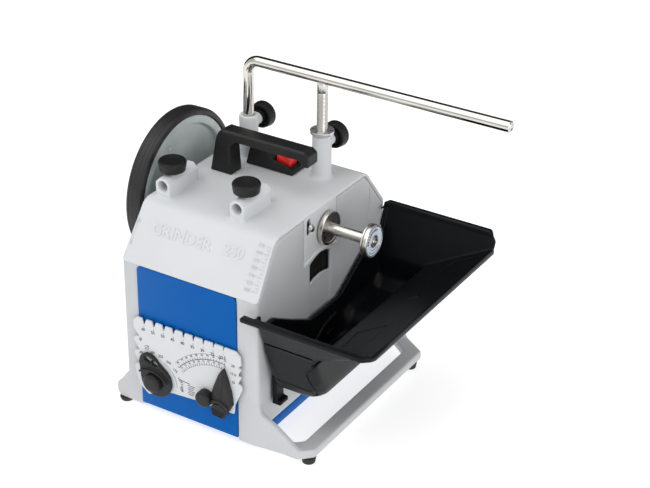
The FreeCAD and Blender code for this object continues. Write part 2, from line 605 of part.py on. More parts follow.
def lock_knobs():
    for side in ("left", "right"):
        lock_knob("rear_knob_" + side, "Y", ("rest_" + side, "rear_knob_y", "rear_knob_z"))
        sub_part("rear_stud_" + side, rod("rear_stud_rod_" + side, "Y", (
            "rest_" + side, "rest_y + rest_rad + gap", "rear_knob_z"), "stud_rad",
            "rear_knob_y - rest_y - rest_rad - gap + knob_len - 5"))
        lock_knob("front_knob_" + side, "Z", ("block_" + side, "block_knob_y", "block_top + 0.5"))
        sub_part("front_stud_" + side, rod("front_stud_rod_" + side, "Z", (
            "block_" + side, "block_knob_y", "bore_z + rest_rad + fit_gap * 2"), "stud_rad",
            "block_top - bore_z - rest_rad - fit_gap * 2 + knob_len - 4.5"))


# ---------------------------------------------------------------- handle and switch

def handle_and_switch():
    grip = prism("handle_shape", "XZ", [
        (-143.5, "top_z"), (-135.5, 275), (-133, 280), (-127.5, "handle_top"), (-27, "handle_top"),
        (-21, 279),
        (-21, 266.5), (-29.5, 266.5), (-30.5, "handle_under"), (-113, "handle_under"), (-119, 266),
        (-116.5, "top_z"),
    ], "handle_front", "handle_deep")
    sub_part("carry_handle", soften("handle_soft", grip, "2", lambda middle, direction, edge: (
        middle.z > 268 and not along(direction, "y") and not near(middle.z, value("handle_under"), 3))))

    housing = prism("switch_shape", "XZ", [
        (-120.5, "top_z"), (-114, 258), (-96, 258), (-84.5, 245), (-68, 242.5), (-61, 238), (-61, "top_z")],
        "switch_front", "switch_deep")
    recess = block("switch_recess", (-86, "switch_front + 4", "top_z - 1"), (20, "switch_deep - 8", 40))
    sleeve_room = rod("switch_sleeve_room", "Z", ("rest_left", "rest_y", "top_z - 1"), "sleeve_rad + 4.3", 40)
    sub_part("switch_housing", cut("switch_case", housing, [recess, sleeve_room]))

    rocker = prism("rocker_shape", "XZ", [
        (-84, "top_z + 4"), (-84, 249.5), (-83, 250.5), (-76.2, 247.8), (-68.5, 249.3), (-67.6, 248.3),
        (-67.6, "top_z + 4")], "switch_front + 5", "switch_deep - 10")
    trunnion = rod("rocker_trunnion", "Y", (-75.8, "switch_front + 4.2", 240), 1.5, "switch_deep - 8.4")
    sub_part("switch_rocker", fuse("rocker", [rocker, trunnion]))
    sub_part("switch_body", fuse("switch_module", [
        block("switch_module_box", (-100, "switch_front + 4", "top_z - 27"), (32, "switch_deep - 8", 26)),
        block("switch_blade_one", (-95, "switch_front + 11", "top_z - 35"), (6, 1, 9)),
        block("switch_blade_two", (-79, "switch_front + 11", "top_z - 35"), (6, 1, 9))]))


# ---------------------------------------------------------------- drive

def drive():
    axis_y, axis_z = "motor_y", "motor_z"
    stator = cut("stator_ring", rod("stator_blank", "X", ("stack_left", axis_y, axis_z), "motor_rad",
                                    "stack_len"),
                 [rod("stator_hole", "X", ("stack_left - 1", axis_y, axis_z), "rotor_rad + 0.5",
                      "stack_len + 2")])
    sub_part("motor_stator", stator)
    for side, start, plate in (("left", "stack_left - bell_len", "stack_left - bell_len"),
                               ("right", "stack_left + stack_len",
                                "stack_left + stack_len + bell_len - 5")):
        shell = cut("bell_%s_shell" % side, rod("bell_%s_blank" % side, "X", (start, axis_y, axis_z),
                                                "motor_rad", "bell_len"),
                    [rod("bell_%s_hollow" % side, "X", (
                        "stack_left - bell_len + 5" if side == "left" else "stack_left + stack_len - 1",
                        axis_y, axis_z), "motor_rad - 4", "bell_len - 4")])
        bell = cut("bell_%s_bored" % side, shell, [rod("bell_%s_bore" % side, "X", (
            "%s - 1" % start, axis_y, axis_z), 11, "bell_len + 2")])
        sub_part("motor_end_bell_" + side, bell)
        sub_part("motor_bearing_" + side, cut("bearing_" + side, rod("bearing_%s_ring" % side, "X", (
            plate, axis_y, axis_z), 11, 5), [rod("bearing_%s_hole" % side, "X", (
                "%s - 1" % plate, axis_y, axis_z), "shaft_rad + fit_gap", 7)]))
    windings = []
    for turn, start in enumerate(("stack_left - 7", "stack_left + stack_len")):
        windings.append(cut("winding_%d" % turn,
                            rod("winding_%d_blank" % turn, "X", (start, axis_y, axis_z), 40, 7),
                            [rod("winding_%d_hole" % turn, "X", ("%s - 1" % start, axis_y, axis_z), 28,
                                 9)]))
    sub_part("motor_windings", group("winding_set", windings))
    sub_part("motor_rotor", cut("rotor", rod("rotor_blank", "X", ("stack_left", axis_y, axis_z),
                                             "rotor_rad", "stack_len"),
                                [rod("rotor_hole", "X", ("stack_left - 1", axis_y, axis_z), "shaft_rad",
                                     "stack_len + 2")]))
    sub_part("motor_spindle", rod("spindle_rod", "X", ("spindle_left", axis_y, axis_z), "shaft_rad",
                                  "spindle_end - spindle_left"))
    plate = block("bracket_plate", (-120, "motor_y - 30", "motor_z - motor_rad - 3"),
                  (64, "pivot_y - motor_y + 30", 3))
    ears = [rod("bracket_ear_%d" % turn, "X", (x, "pivot_y", "pivot_z"), "pivot_rad + 5", 4)
            for turn, x in enumerate((-118, -62))]
    webs = [block("bracket_web_%d" % turn, (x, "pivot_y - 22", "pivot_z - 4"), (4, 22, 14))
            for turn, x in enumerate((-118, -62))]
    straps = []
    for turn, x in enumerate((-106, -76)):
        straps.append(cut("bracket_strap_%d" % turn,
                          rod("strap_blank_%d" % turn, "X", (x, axis_y, axis_z), "motor_rad + 2", 8),
                          [rod("strap_hole_%d" % turn, "X", (x - 1, axis_y, axis_z), "motor_rad", 10)]))
    feet = [block("strap_foot_%d" % turn, (x, "motor_y - 8", "motor_z - motor_rad - 2.5"), (8, 16, 2))
            for turn, x in enumerate((-106, -76))]
    bracket = cut("bracket", fuse("bracket_body", [plate] + ears + webs + straps + feet), [
        rod("bracket_bore", "X", (-130, "pivot_y", "pivot_z"), "pivot_rad + fit_gap", 90),
        rod("bracket_seat", "X", (-130, axis_y, axis_z), "motor_rad", 90)])
    sub_part("motor_bracket", bracket)
    sub_part("motor_pivot_rod", rod("pivot_rod", "X", ("body_left + flare + 4.5", "pivot_y", "pivot_z"),
                                    "pivot_rad",
                                    "body_right - body_left - flare * 2 - 9"))
    sub_part("press_spring", press_spring())
    sub_part("run_capacitor", fuse("capacitor", [
        rod("capacitor_can", "X", (-128, -100, 40), 15, 52), rod("capacitor_cap", "X", (-76, -100, 40), 13,
                                                                 5),
        block("capacitor_tab_one", (-71.5, -104, 37), (7, 1, 6)), block("capacitor_tab_two",
                                                                        (-71.5, -96, 37), (7, 1, 6))]))
    sub_part("capacitor_clip", cut("clip", fuse("clip_body", [
        rod("clip_ring", "X", (-110, -100, 40), 16.4, 12), block("clip_foot", (-110, -108, 9.7),
                                                                 (12, 16, 18))]),
        [rod("clip_hole", "X", (-111, -100, 40), 15, 14)]))


def press_spring():
    """Coil spring that lifts the motor so that its spindle bears on the tyre; six turns of round wire."""
    obj = doc.addObject("Part::Feature", "spring")
    low, high, coil, wire = 10.2, value("motor_z") - value("motor_rad") - 3.3, 8.0, 1.25
    tall = high - low - 2 * wire
    helix = Part.makeHelix(tall / 6, tall, coil)
    start = Part.Wire([Part.makeCircle(wire, FreeCAD.Vector(coil, 0, 0), FreeCAD.Vector(0, 1, 0))])
    obj.Shape = Part.Wire(helix.Edges).makePipeShell([start], True, True)
    obj.Placement = FreeCAD.Placement(FreeCAD.Vector(-88 + value("shift_x"),
                                                     value("motor_y") - 18 + value("shift_y"),
                                                     low + wire), FreeCAD.Rotation())
    return obj


# ---------------------------------------------------------------- water trough

def tray(name, inset, top):
    """Upper tray: upright on the machine side, a shallow ramp on the outer side, steep front and back."""
    grow = "((%s) - trough_bend)" % top
    low = [("trough_in + %s" % inset, "trough_front + %s" % inset),
           ("trough_bowl - %s" % inset, "trough_front + %s" % inset),
           ("trough_bowl - %s" % inset, "trough_back - %s" % inset),
           ("trough_in + %s" % inset, "trough_back - %s" % inset)]
    ramp = "%s * 2.05" % grow
    high = [("trough_in + %s" % inset, "trough_front + %s - %s * 0.42" % (inset, grow)),
            ("trough_bowl - %s + %s" % (inset, ramp), "trough_front + %s - %s * 0.42" % (inset, grow)),
            ("trough_bowl - %s + %s" % (inset, ramp), "trough_back - %s + %s * 0.36" % (inset, grow)),
            ("trough_in + %s" % inset, "trough_back - %s + %s * 0.36" % (inset, grow))]
    obj = doc.addObject("Part::Feature", name)
    wires = []
    for corners, level in ((low, "trough_bend"), (high, top)):
        points = [FreeCAD.Vector(value(x), value(y), value(level)) for x, y in corners]
        wires.append(Part.makePolygon(points + points[:1]))
    obj.Shape = Part.makeLoft(wires, True, True)
    obj.Placement = FreeCAD.Placement(FreeCAD.Vector(value("shift_x"), value("shift_y"), 0),
                                      FreeCAD.Rotation())
    return obj


def bowl(name, inset, floor):
    """Lower bowl: deep in front, a ledge behind, and a bevelled outer bottom edge."""
    side_view = prism(name + "_side", "YZ", [
        ("trough_front + %s" % inset, "trough_bend"), ("trough_front + 6 + %s" % inset, "%s + 28" % floor),
        ("trough_front + 14 + %s" % inset, "%s + 12" % floor),
        ("trough_front + 28 + %s" % inset, floor), ("12 - %s" % inset, floor),
        ("22 - %s" % inset, "%s + 8" % floor), ("32 - %s" % inset, "%s + 28" % floor),
        ("trough_back - 12 - %s" % inset, "%s + 28" % floor),
        ("trough_back - %s" % inset, "%s + 42" % floor),
        ("trough_back - %s" % inset, "trough_bend")],
        "trough_in + %s" % inset, "trough_bowl - trough_in - %s * 2" % inset)
    end_view = prism(name + "_end", "XZ", [
        ("trough_in + %s" % inset, floor), ("trough_bowl - 18 - %s" % inset, floor),
        ("trough_bowl - 6 - %s" % inset, "%s + 7" % floor), ("trough_bowl - %s" % inset, "%s + 20" % floor),
        ("trough_bowl - %s" % inset, "trough_bend"), ("trough_in + %s" % inset, "trough_bend")],
        "trough_front", "trough_back - trough_front")
    return common(name, [side_view, end_view])


def water_trough():
    outer = fuse("trough_outer", [tray("tray_outer", "0", "190"), bowl("bowl_outer", "0", "trough_floor")])
    inner = fuse("trough_inner", [tray("tray_inner", "trough_wall", "191"),
                                  bowl("bowl_inner", "trough_wall", "trough_floor + trough_wall")])
    inner_top = prism("trough_inner_gap", "XY", [
        ("trough_in + trough_wall", "trough_front + trough_wall"),
        ("trough_bowl - trough_wall", "trough_front + trough_wall"),
        ("trough_bowl - trough_wall", "trough_back - trough_wall"),
        ("trough_in + trough_wall", "trough_back - trough_wall")],
        "trough_bend - 1", "2")
    shell = cut("trough_shell", outer, [inner, inner_top])
    above = prism("trough_above", "YZ", [
        (-170, 162), ("trough_front - 20", 164), (122, 183.5), (160, 186), (160, 240), (-170, 240)], -40, 320)
    beyond = block("trough_beyond", ("trough_out", -200, 100), (120, 400, 200))
    corner_trim = prism("trough_corner", "XZ", [
        ("trough_out - 8.5", 184.5), ("trough_out + 1", 172), ("trough_out + 60", 172), ("trough_out + 60", 230),
        ("trough_out - 8.5", 230)], -200, 400)
    wall_dip = prism("trough_dip", "YZ", [
        (-129, 200), (-129, 146), (-105, 148), (-72, 129), (-37, 111), (21, 111), (68, 140), (108, 158),
        (118, 186), (118, 200)], "trough_in - 20", "trough_wall + 20.5")
    trimmed = cut("trough_trimmed", shell, [above, beyond, corner_trim, wall_dip])
    lip = prism("trough_lip", "XY", [
        (-10, -144.5), ("trough_out - 11", -144.5), ("trough_out", -135), ("trough_out", 117),
        ("trough_out - 4.6", 117), ("trough_out - 4.6", -133), ("trough_out - 13", -139), (-10, -136.5)],
        "159.2", "5")
    hooks = []
    for turn, y in enumerate((-107, -6)):
        hooks.append(block("hook_arm_%d" % turn, ("trough_in", y, 46), ("trough_wall", 15, 30)))
        hooks.append(block("hook_foot_%d" % turn, ("trough_in", y, 46), (11, 15, 5)))
    whole = fuse("trough_whole", [trimmed, lip] + hooks)
    sub_part("water_trough", whole)


# ---------------------------------------------------------------- angle gauge

def gauge_outline():
    """Plate outline with setting notches cut into its top, left and right edges."""
    corners = [(-134, 24.5), (-146, 34)]
    for turn in range(3):
        base = 46 + turn * 17
        corners += [(-151, base + 8), (-149.5, base + 12), (-143.5, base + 14)]
    corners += [(-150.5, 103), (-150.6, 112), (-146, 117)]
    for turn in range(9):
        x = -136.5 + turn * 12.6
        half = 2.9 - turn * 0.24
        corners += [("%s - %s" % (x, half), 117), (x, 109.5), ("%s + %s" % (x, half), 117)]
    corners += [(-21, 116.5), (-15, 111.5), (-14.5, 101)]
    for turn in range(3):
        z = 98.5 - turn * 10
        corners += [(-18.5, z), (-14.3, z - 1.6)]
    corners += [(-13.6, 72), (-23, 50), (-24, 39.5), (-44, 39), (-72, 38.9), (-104, 36.5), (-118, 30)]
    return corners


def angle_gauge():
    plate = prism("gauge_shape", "XZ", gauge_outline(), "plate_y", "plate_thick")
    sub_part("gauge_plate", cut("gauge", plate, [
        rod("gauge_cam_hole", "Y", ("cam_x", "plate_y - 1", "cam_z"), 3, "plate_thick + 2"),
        rod("gauge_pointer_hole", "Y", ("pivot_x", "plate_y - 1", "pointer_z + 9"), 3, "plate_thick + 2")]))
    magnets = [rod("magnet_%d" % turn, "Y", (x, "plate_y + plate_thick", z), 8,
                   "body_front - 0.5 - plate_y - plate_thick")
               for turn, (x, z) in enumerate(((-95, 92), (-55, 92), (-95, 52)))]
    sub_part("gauge_magnets", group("magnet_set", magnets))
    pins = [rod("gauge_pin_cam", "Y", ("cam_x", "plate_y - 9", "cam_z"), 2.95, 10.5),
            rod("gauge_pin_pointer", "Y", ("pivot_x", "plate_y - 4", "pointer_z + 9"), 2.95, 5.5)]
    sub_part("gauge_pivot_pins", group("gauge_pins", pins))

    cam = fuse("cam_body", [
        rod("cam_round", "Y", ("cam_x + 2.6", "plate_y - gap - 4", "cam_z + 2"), 19.5, 4),
        rod("cam_nose", "Y", ("cam_x - 7", "plate_y - gap - 4", "cam_z + 21"), 11.5, 4),
        prism("cam_flank", "XZ", [("cam_x - 16.9", "cam_z + 2"), ("cam_x + 8", "cam_z - 4"),
                                  ("cam_x + 20.6", "cam_z + 10"),
                                  ("cam_x + 2.2", "cam_z + 28"), ("cam_x - 18.5", "cam_z + 21")],
              "plate_y - gap - 4", "4")])
    sub_part("diameter_cam", cut("cam", cam, [
        rod("cam_window_one", "Y", ("cam_x + 1", "plate_y - 10", "cam_z + 23"), 2.6, 12),
        rod("cam_window_two", "Y", ("cam_x - 6.4", "plate_y - 10", "cam_z + 25.4"), 2.6, 12),
        rod("cam_bore", "Y", ("cam_x", "plate_y - 10", "cam_z"), 3, 12)]))
    sub_part("cam_knob", cut("cam_knob_shape",
                             rod("cam_knob_blank", "Y", ("cam_x", "plate_y - gap - 11", "cam_z"), 10.9, 7),
                             [rod("cam_knob_bore", "Y", ("cam_x", "plate_y - 9.2", "cam_z"), 3, 12)]))

    pointer = fuse("pointer_body", [
        prism("pointer_blade", "XZ", [("pivot_x - 8", "pointer_z + 2"), ("pivot_x + 6", "pointer_z - 1"),
                                      ("pivot_x + 18", "pointer_z + 21"),
                                      ("pivot_x + 16", "pointer_z + 36"),
                                      ("pivot_x + 11", "pointer_z + 53"), ("pivot_x + 7", "pointer_z + 63"),
                                      ("pivot_x + 1", "pointer_z + 54"), ("pivot_x - 6", "pointer_z + 36"),
                                      ("pivot_x - 9", "pointer_z + 25"),
                                      ("pivot_x - 10", "pointer_z + 15")],
              "plate_y - gap - 5", "5"),
        block("pointer_arm", ("pivot_x - 18", "plate_y - gap - 5", "pointer_z + 14"), (14, 5, 9))])
    sub_part("angle_pointer", cut("pointer", pointer, [
        rod("pointer_bore", "Y", ("pivot_x", "plate_y - 4.2", "pointer_z + 9"), 3, 6)]))
    sub_part("pointer_knob", rod("pointer_knob_blank", "Y", (
        "pivot_x - 16.4", "plate_y - gap - 10", "pointer_z + 19"), 9.4, 5))


top_casting()
right_side_frame()
window_grille()
left_side_frame()
blue_cover_sheet()
small_shell_parts()
shaft_group()
tool_rest()
lock_knobs()
handle_and_switch()
drive()
water_trough()
angle_gauge()

doc.recompute()
for obj in doc.Objects:
    if {"Invalid", "Error"} & set(obj.State):
        raise RuntimeError("%s failed to recompute: %s" % (obj.Label, obj.State))
os.makedirs("parts", exist_ok=True)
box = FreeCAD.BoundBox()
for obj in sub_parts:
    shape = obj.Shape
    if shape.isNull() or not shape.isValid():
        raise RuntimeError("%s has no valid shape" % obj.Label)
    box.add(shape.optimalBoundingBox(False))
    shape.exportStep("parts/%s.step" % obj.Label)
    print("%-22s %d solids %10.0f mm3" % (obj.Label, len(shape.Solids), shape.Volume))
print("%d nodes, box x %.2f..%.2f y %.2f..%.2f z %.2f..%.2f" % (
    len(sub_parts), box.XMin, box.XMax, box.YMin, box.YMax, box.ZMin, box.ZMax))
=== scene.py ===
import json
import math

import bpy
import numpy as np
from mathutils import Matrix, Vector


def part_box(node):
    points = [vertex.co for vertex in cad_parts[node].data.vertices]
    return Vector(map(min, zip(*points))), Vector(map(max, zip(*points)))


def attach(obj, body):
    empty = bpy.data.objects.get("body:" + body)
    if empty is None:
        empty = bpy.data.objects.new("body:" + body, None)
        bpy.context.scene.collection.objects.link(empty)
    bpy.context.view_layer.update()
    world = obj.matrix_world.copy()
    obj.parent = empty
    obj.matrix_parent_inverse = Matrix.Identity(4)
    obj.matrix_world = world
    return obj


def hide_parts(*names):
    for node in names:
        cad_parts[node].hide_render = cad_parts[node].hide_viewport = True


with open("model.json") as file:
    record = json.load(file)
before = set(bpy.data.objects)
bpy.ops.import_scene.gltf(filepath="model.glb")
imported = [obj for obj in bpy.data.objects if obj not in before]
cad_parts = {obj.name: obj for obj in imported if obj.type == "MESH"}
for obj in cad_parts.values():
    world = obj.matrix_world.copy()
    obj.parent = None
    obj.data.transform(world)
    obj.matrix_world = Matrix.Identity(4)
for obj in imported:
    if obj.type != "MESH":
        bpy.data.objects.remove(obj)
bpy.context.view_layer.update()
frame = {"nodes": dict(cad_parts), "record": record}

import openvdb
from mathutils import Matrix, Vector

# The looks of a water-cooled bench grinder.  Shapes are worked out in millimetres from the machine datum:
# x = 0 is the right wall, y = 0 the shaft axis, z = 0 the floor.  Long outlines stay as lists of corners.
MM = 0.001
SHAFT_TIP = 60.6
shaft_low, shaft_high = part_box("main_shaft")
DATUM = np.array([shaft_high.x / MM - SHAFT_TIP, (shaft_low.y + shaft_high.y) / 2 / MM, 0.0])
SHAFT_Z = (shaft_low.z + shaft_high.z) / 2 / MM
AXES = {"X": (1, 2, 0), "Y": (2, 0, 1), "Z": (0, 1, 2)}
TURN = 2 * math.pi


def link(obj):
    bpy.context.scene.collection.objects.link(obj)


def low_high(node):
    """A CAD node's box in datum millimetres."""
    return [np.array(corner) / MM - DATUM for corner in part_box(node)]


# -------- materials

NOISE_LOW, NOISE_HIGH = 0.3, 0.7


def shader(name):
    """A new material with its node tree and its principled node."""
    material = bpy.data.materials.new(name)
    material.use_nodes = True
    tree = material.node_tree
    return material, tree, tree.nodes["Principled BSDF"]


def noise(tree, scale, detail, stretch=(1, 1, 1)):
    """Noise in the piece's own coordinates; scale is in features a metre."""
    coordinates = tree.nodes.new("ShaderNodeTexCoord")
    mapping = tree.nodes.new("ShaderNodeMapping")
    mapping.inputs["Scale"].default_value = stretch
    texture = tree.nodes.new("ShaderNodeTexNoise")
    texture.inputs["Scale"].default_value = scale
    texture.inputs["Detail"].default_value = detail
    tree.links.new(coordinates.outputs["Object"], mapping.inputs["Vector"])
    tree.links.new(mapping.outputs["Vector"], texture.inputs["Vector"])
    return texture.outputs["Fac"]


def spread(tree, source, low, high):
    """A noise value stretched to a range."""
    change = tree.nodes.new("ShaderNodeMapRange")
    change.inputs["From Min"].default_value = NOISE_LOW
    change.inputs["From Max"].default_value = NOISE_HIGH
    change.inputs["To Min"].default_value = low
    change.inputs["To Max"].default_value = high
    tree.links.new(source, change.inputs["Value"])
    return change.outputs["Result"]


def tinted(tree, source, dark, light):
    """A noise value turned into a colour between two."""
    ramp = tree.nodes.new("ShaderNodeValToRGB")
    low, high = ramp.color_ramp.elements
    low.position, high.position = NOISE_LOW, NOISE_HIGH
    low.color, high.color = (*dark, 1), (*light, 1)
    tree.links.new(source, ramp.inputs["Fac"])
    return ramp.outputs["Color"]


def surface(name, dark, light, rough, grain=(900, 0.1), patch=14, metallic=0.0, specular=0.5,
            stretch=(1, 1, 1), deep=0.0002):
    """A finish: two near colours in soft patches, a roughness range, and a fine grain as bump.
    grain is its features a metre and its strength, and deep its height in metres."""
    material, tree, node = shader(name)
    node.inputs["Metallic"].default_value = metallic
    node.inputs["Specular IOR Level"].default_value = specular
    patches = noise(tree, patch, 4.0)
    tree.links.new(tinted(tree, patches, dark, light), node.inputs["Base Color"])
    grains = noise(tree, grain[0], 2.0, stretch)
    tree.links.new(spread(tree, grains, *rough), node.inputs["Roughness"])
    bump = tree.nodes.new("ShaderNodeBump")
    bump.inputs["Strength"].default_value = grain[1]
    bump.inputs["Distance"].default_value = deep
    tree.links.new(grains, bump.inputs["Height"])
    tree.links.new(bump.outputs["Normal"], node.inputs["Normal"])
    return material


def grey(level, tint=(1, 1, 1)):
    """A neutral colour of one level, or one that leans to a tint."""
    return tuple(level * part for part in tint)


COOL = (0.975, 1.0, 1.02)
WARM = (1.0, 0.965, 0.90)
FINISH = {
    "cast_paint": surface("cast_paint", grey(0.61, COOL), grey(0.65, COOL), (0.44, 0.54), (1500, 0.10), 9,
                          specular=0.22),
    "frame_plastic": surface("frame_plastic", grey(0.52, COOL), grey(0.56, COOL), (0.44, 0.56), (1700, 0.12), 8,
                             specular=0.22),
    "blue_paint": surface("blue_paint", (0.0, 0.092, 0.36), (0.0, 0.106, 0.40), (0.30, 0.38), (1100, 0.05), 6,
                          specular=0.08),
    "foot_rubber": surface("foot_rubber", grey(0.012), grey(0.02), (0.6, 0.8), (700, 0.3)),
    "black_plastic": surface("black_plastic", grey(0.008), grey(0.013), (0.34, 0.5), (1900, 0.4), 25,
                             specular=0.3),
    "knob_plastic": surface("knob_plastic", grey(0.006), grey(0.010), (0.34, 0.48), (1600, 0.3), 30,
                            specular=0.28),
    "red_plastic": surface("red_plastic", (0.66, 0.010, 0.008), (0.78, 0.018, 0.012), (0.2, 0.3), (500, 0.05)),
    "trough_plastic": surface("trough_plastic", (0.003, 0.0034, 0.0045), (0.006, 0.0065, 0.008), (0.28, 0.42),
                              (1400, 0.3), 10, specular=0.17),
    "zinc_steel": surface("zinc_steel", grey(0.52), grey(0.66), (0.22, 0.38), (600, 0.1), 60, 1.0, deep=5e-5),
    "stainless": surface("stainless", grey(0.56, WARM), grey(0.66, WARM), (0.24, 0.34), (2600, 0.10), 40, 1.0,
                         stretch=(1, 0.06, 0.06), deep=3e-5),
    "bright_chrome": surface("bright_chrome", grey(0.60, WARM), grey(0.68, WARM), (0.05, 0.10), (300, 0.02), 20,
                             1.0, deep=2e-5),
    "nut_zinc": surface("nut_zinc", grey(0.62, COOL), grey(0.72, COOL), (0.3, 0.42), (500, 0.1), 50, 0.85,
                        deep=5e-5),
    "wheel_zinc": surface("wheel_zinc", (0.46, 0.51, 0.50), (0.60, 0.65, 0.64), (0.34, 0.5), (160, 0.15), 26,
                          0.35, deep=1e-4),
    "tyre_rubber": surface("tyre_rubber", grey(0.012), grey(0.02), (0.36, 0.5), (900, 0.3), 40, specular=0.4),
    "label": surface("label", (0.58, 0.66, 0.76), (0.64, 0.71, 0.80), (0.3, 0.4), (800, 0.03)),
    "bush_nylon": surface("bush_nylon", (0.55, 0.52, 0.42), (0.62, 0.59, 0.50), (0.4, 0.5)),
    "lamination": surface("lamination", grey(0.16), grey(0.24), (0.35, 0.55), (2000, 0.3), 30, 0.9,
                          stretch=(1, 0.02, 0.02)),
    "copper": surface("copper", (0.45, 0.17, 0.06), (0.6, 0.26, 0.1), (0.25, 0.4), (900, 0.4), 60, 0.9),
    "motor_alloy": surface("motor_alloy", grey(0.42), grey(0.52), (0.4, 0.55), (500, 0.3), 30, 0.9),
    "gauge_white": surface("gauge_white", grey(0.60, COOL), grey(0.64, COOL), (0.34, 0.44), (1300, 0.05), 12),
    "magnet": surface("magnet", grey(0.03), grey(0.05), (0.5, 0.7)),
}
INK = surface("ink", grey(0.010), grey(0.016), (0.4, 0.5), (900, 0.02))


def finish(obj, slot, material=None):
    """Give a new piece the material of its slot in the record, or the material passed instead."""
    obj.data.materials.clear()
    obj.data.materials.append(material or FINISH[slot])
    return obj


# -------- meshes

def build(name, points, faces, slot, body, stands_for=(), smooth=35, material=None):
    """A piece from points in datum millimetres.  smooth is the angle in degrees from which edges stay sharp."""
    mesh = bpy.data.meshes.new(name)
    rows = (np.asarray(points, float) + DATUM) * MM
    mesh.from_pydata(rows.tolist(), [], [list(map(int, face)) for face in faces])
    mesh.validate()
    mesh.shade_smooth()
    if smooth:
        mesh.set_sharp_from_angle(angle=math.radians(smooth))
    obj = bpy.data.objects.new(name, mesh)
    link(obj)
    finish(obj, slot, material)
    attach(obj, body)
    if stands_for:
        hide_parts(*stands_for)
    return obj


def rounded(corners, radius, closed=True, steps=6):
    """An outline whose corners are arcs; radius is one number or one for each corner."""
    corners = [np.array(corner, float) for corner in corners]
    count = len(corners)
    radii = [radius] * count if np.isscalar(radius) else radius
    points = []
    for index, corner in enumerate(corners):
        end = not closed and index in (0, count - 1)
        before = corners[index - 1] - corner
        after = corners[(index + 1) % count] - corner
        if end or radii[index] <= 0:
            points.append(corner)
            continue
        near, far = np.linalg.norm(before), np.linalg.norm(after)
        before, after = before / near, after / far
        half = math.acos(max(-1.0, min(1.0, float(before @ after)))) / 2
        if half > math.radians(89):
            points.append(corner)
            continue
        reach = min(radii[index] / math.tan(half), 0.49 * near, 0.49 * far)
        bend = reach * math.tan(half)
        centre = corner + (before + after) / np.linalg.norm(before + after) * (bend / math.sin(half))
        start, stop = corner + before * reach - centre, corner + after * reach - centre
        turn = math.atan2(start[0] * stop[1] - start[1] * stop[0], start @ stop)
        for step in range(steps + 1):
            angle = turn * step / steps
            cos, sin = math.cos(angle), math.sin(angle)
            points.append(centre + (start[0] * cos - start[1] * sin, start[0] * sin + start[1] * cos))
    return points


def lathe(name, profile, start, axis, slot, body, stands_for=(), steps=96, wave=None, smooth=35):
    """Turn (along, radius) points about an axis through start.
    wave(angle, along, radius) gives the radius where it isn't round."""
    first, second, third = AXES[axis]
    points, rings = [], []
    for along, radius in profile:
        ring = []
        for step in range(1 if radius <= 1e-6 else steps):
            angle = TURN * step / steps
            reach = wave(angle, along, radius) if wave else radius
            point = np.array(start, float)
            point[first] += reach * math.cos(angle)
            point[second] += reach * math.sin(angle)
            point[third] += along
            ring.append(len(points))
            points.append(point)
        rings.append(ring)
    faces = []
    for lower, upper in zip(rings, rings[1:]):
        for step in range(steps):
            after = (step + 1) % steps
            if len(lower) > 1 and len(upper) > 1:
                faces.append((lower[step], lower[after], upper[after], upper[step]))
            elif len(upper) > 1:
                faces.append((lower[0], upper[after], upper[step]))
            elif len(lower) > 1:
                faces.append((lower[step], lower[after], upper[0]))
    return build(name, points, faces, slot, body, stands_for, smooth)


def closed_profile(corners, radius):
    """A ring's section, closed on itself, for a turned piece with a hole."""
    points = rounded(corners, radius)
    return points + points[:1]


# -------- distance fields

MARGIN = 4
BAND = 3


class Field:
    """Signed distances in datum millimetres on a regular grid: negative inside."""

    def __init__(self, low, high, step):
        self.step = step
        self.start = [math.floor(value / step) - MARGIN for value in low]
        stop = [math.ceil(value / step) + MARGIN + 1 for value in high]
        axes = [np.arange(a, b, dtype=np.float32) * np.float32(step) for a, b in zip(self.start, stop)]
        self.x, self.y, self.z = np.meshgrid(*axes, indexing="ij", sparse=True)
        self.size = [len(axis) for axis in axes]
        self.values = None

    def spots(self, plane):
        """The grid's two coordinates in a plane."""
        return {"XY": (self.x, self.y), "XZ": (self.x, self.z), "YZ": (self.y, self.z)}[plane]

    def flat(self, plane, corners):
        """Distance to a polygon drawn in a plane, without end along the third axis."""
        across, up = self.spots(plane)
        return polygon(across, up, corners)

    def slab(self, axis, low, high):
        """Distance to an endless plate between two planes."""
        line = {"X": self.x, "Y": self.y, "Z": self.z}[axis]
        return np.maximum(low - line, line - high)

    def tube(self, axis, centre, radius):
        """Distance to an endless cylinder along an axis."""
        first, second, _ = AXES[axis]
        lines = (self.x, self.y, self.z)
        return np.hypot(lines[first] - centre[0], lines[second] - centre[1]) - radius


def polygon(across, up, corners):
    """Signed distance to a polygon in a plane."""
    corners = [(float(corner[0]), float(corner[1])) for corner in corners]
    best = None
    inside = None
    for (x0, y0), (x1, y1) in zip(corners, corners[1:] + corners[:1]):
        dx, dy = x1 - x0, y1 - y0
        length = dx * dx + dy * dy
        if length < 1e-9:
            continue
        share = np.clip(((across - x0) * dx + (up - y0) * dy) / length, 0, 1)
        away = (across - x0 - share * dx) ** 2 + (up - y0 - share * dy) ** 2
        best = away if best is None else np.minimum(best, away)
        crosses = ((y0 <= up) != (y1 <= up)) & (across < x0 + (up - y0) * dx / (dy if dy else 1e-9))
        inside = crosses if inside is None else inside ^ crosses
    return np.where(inside, -1, 1) * np.sqrt(best)


def strip(across, up, line):
    """Distance to an open line in a plane."""
    best = None
    for (x0, y0), (x1, y1) in zip(line, line[1:]):
        dx, dy = float(x1 - x0), float(y1 - y0)
        share = np.clip(((across - x0) * dx + (up - y0) * dy) / (dx * dx + dy * dy), 0, 1)
        away = np.hypot(across - x0 - share * dx, up - y0 - share * dy)
        best = away if best is None else np.minimum(best, away)
    return best


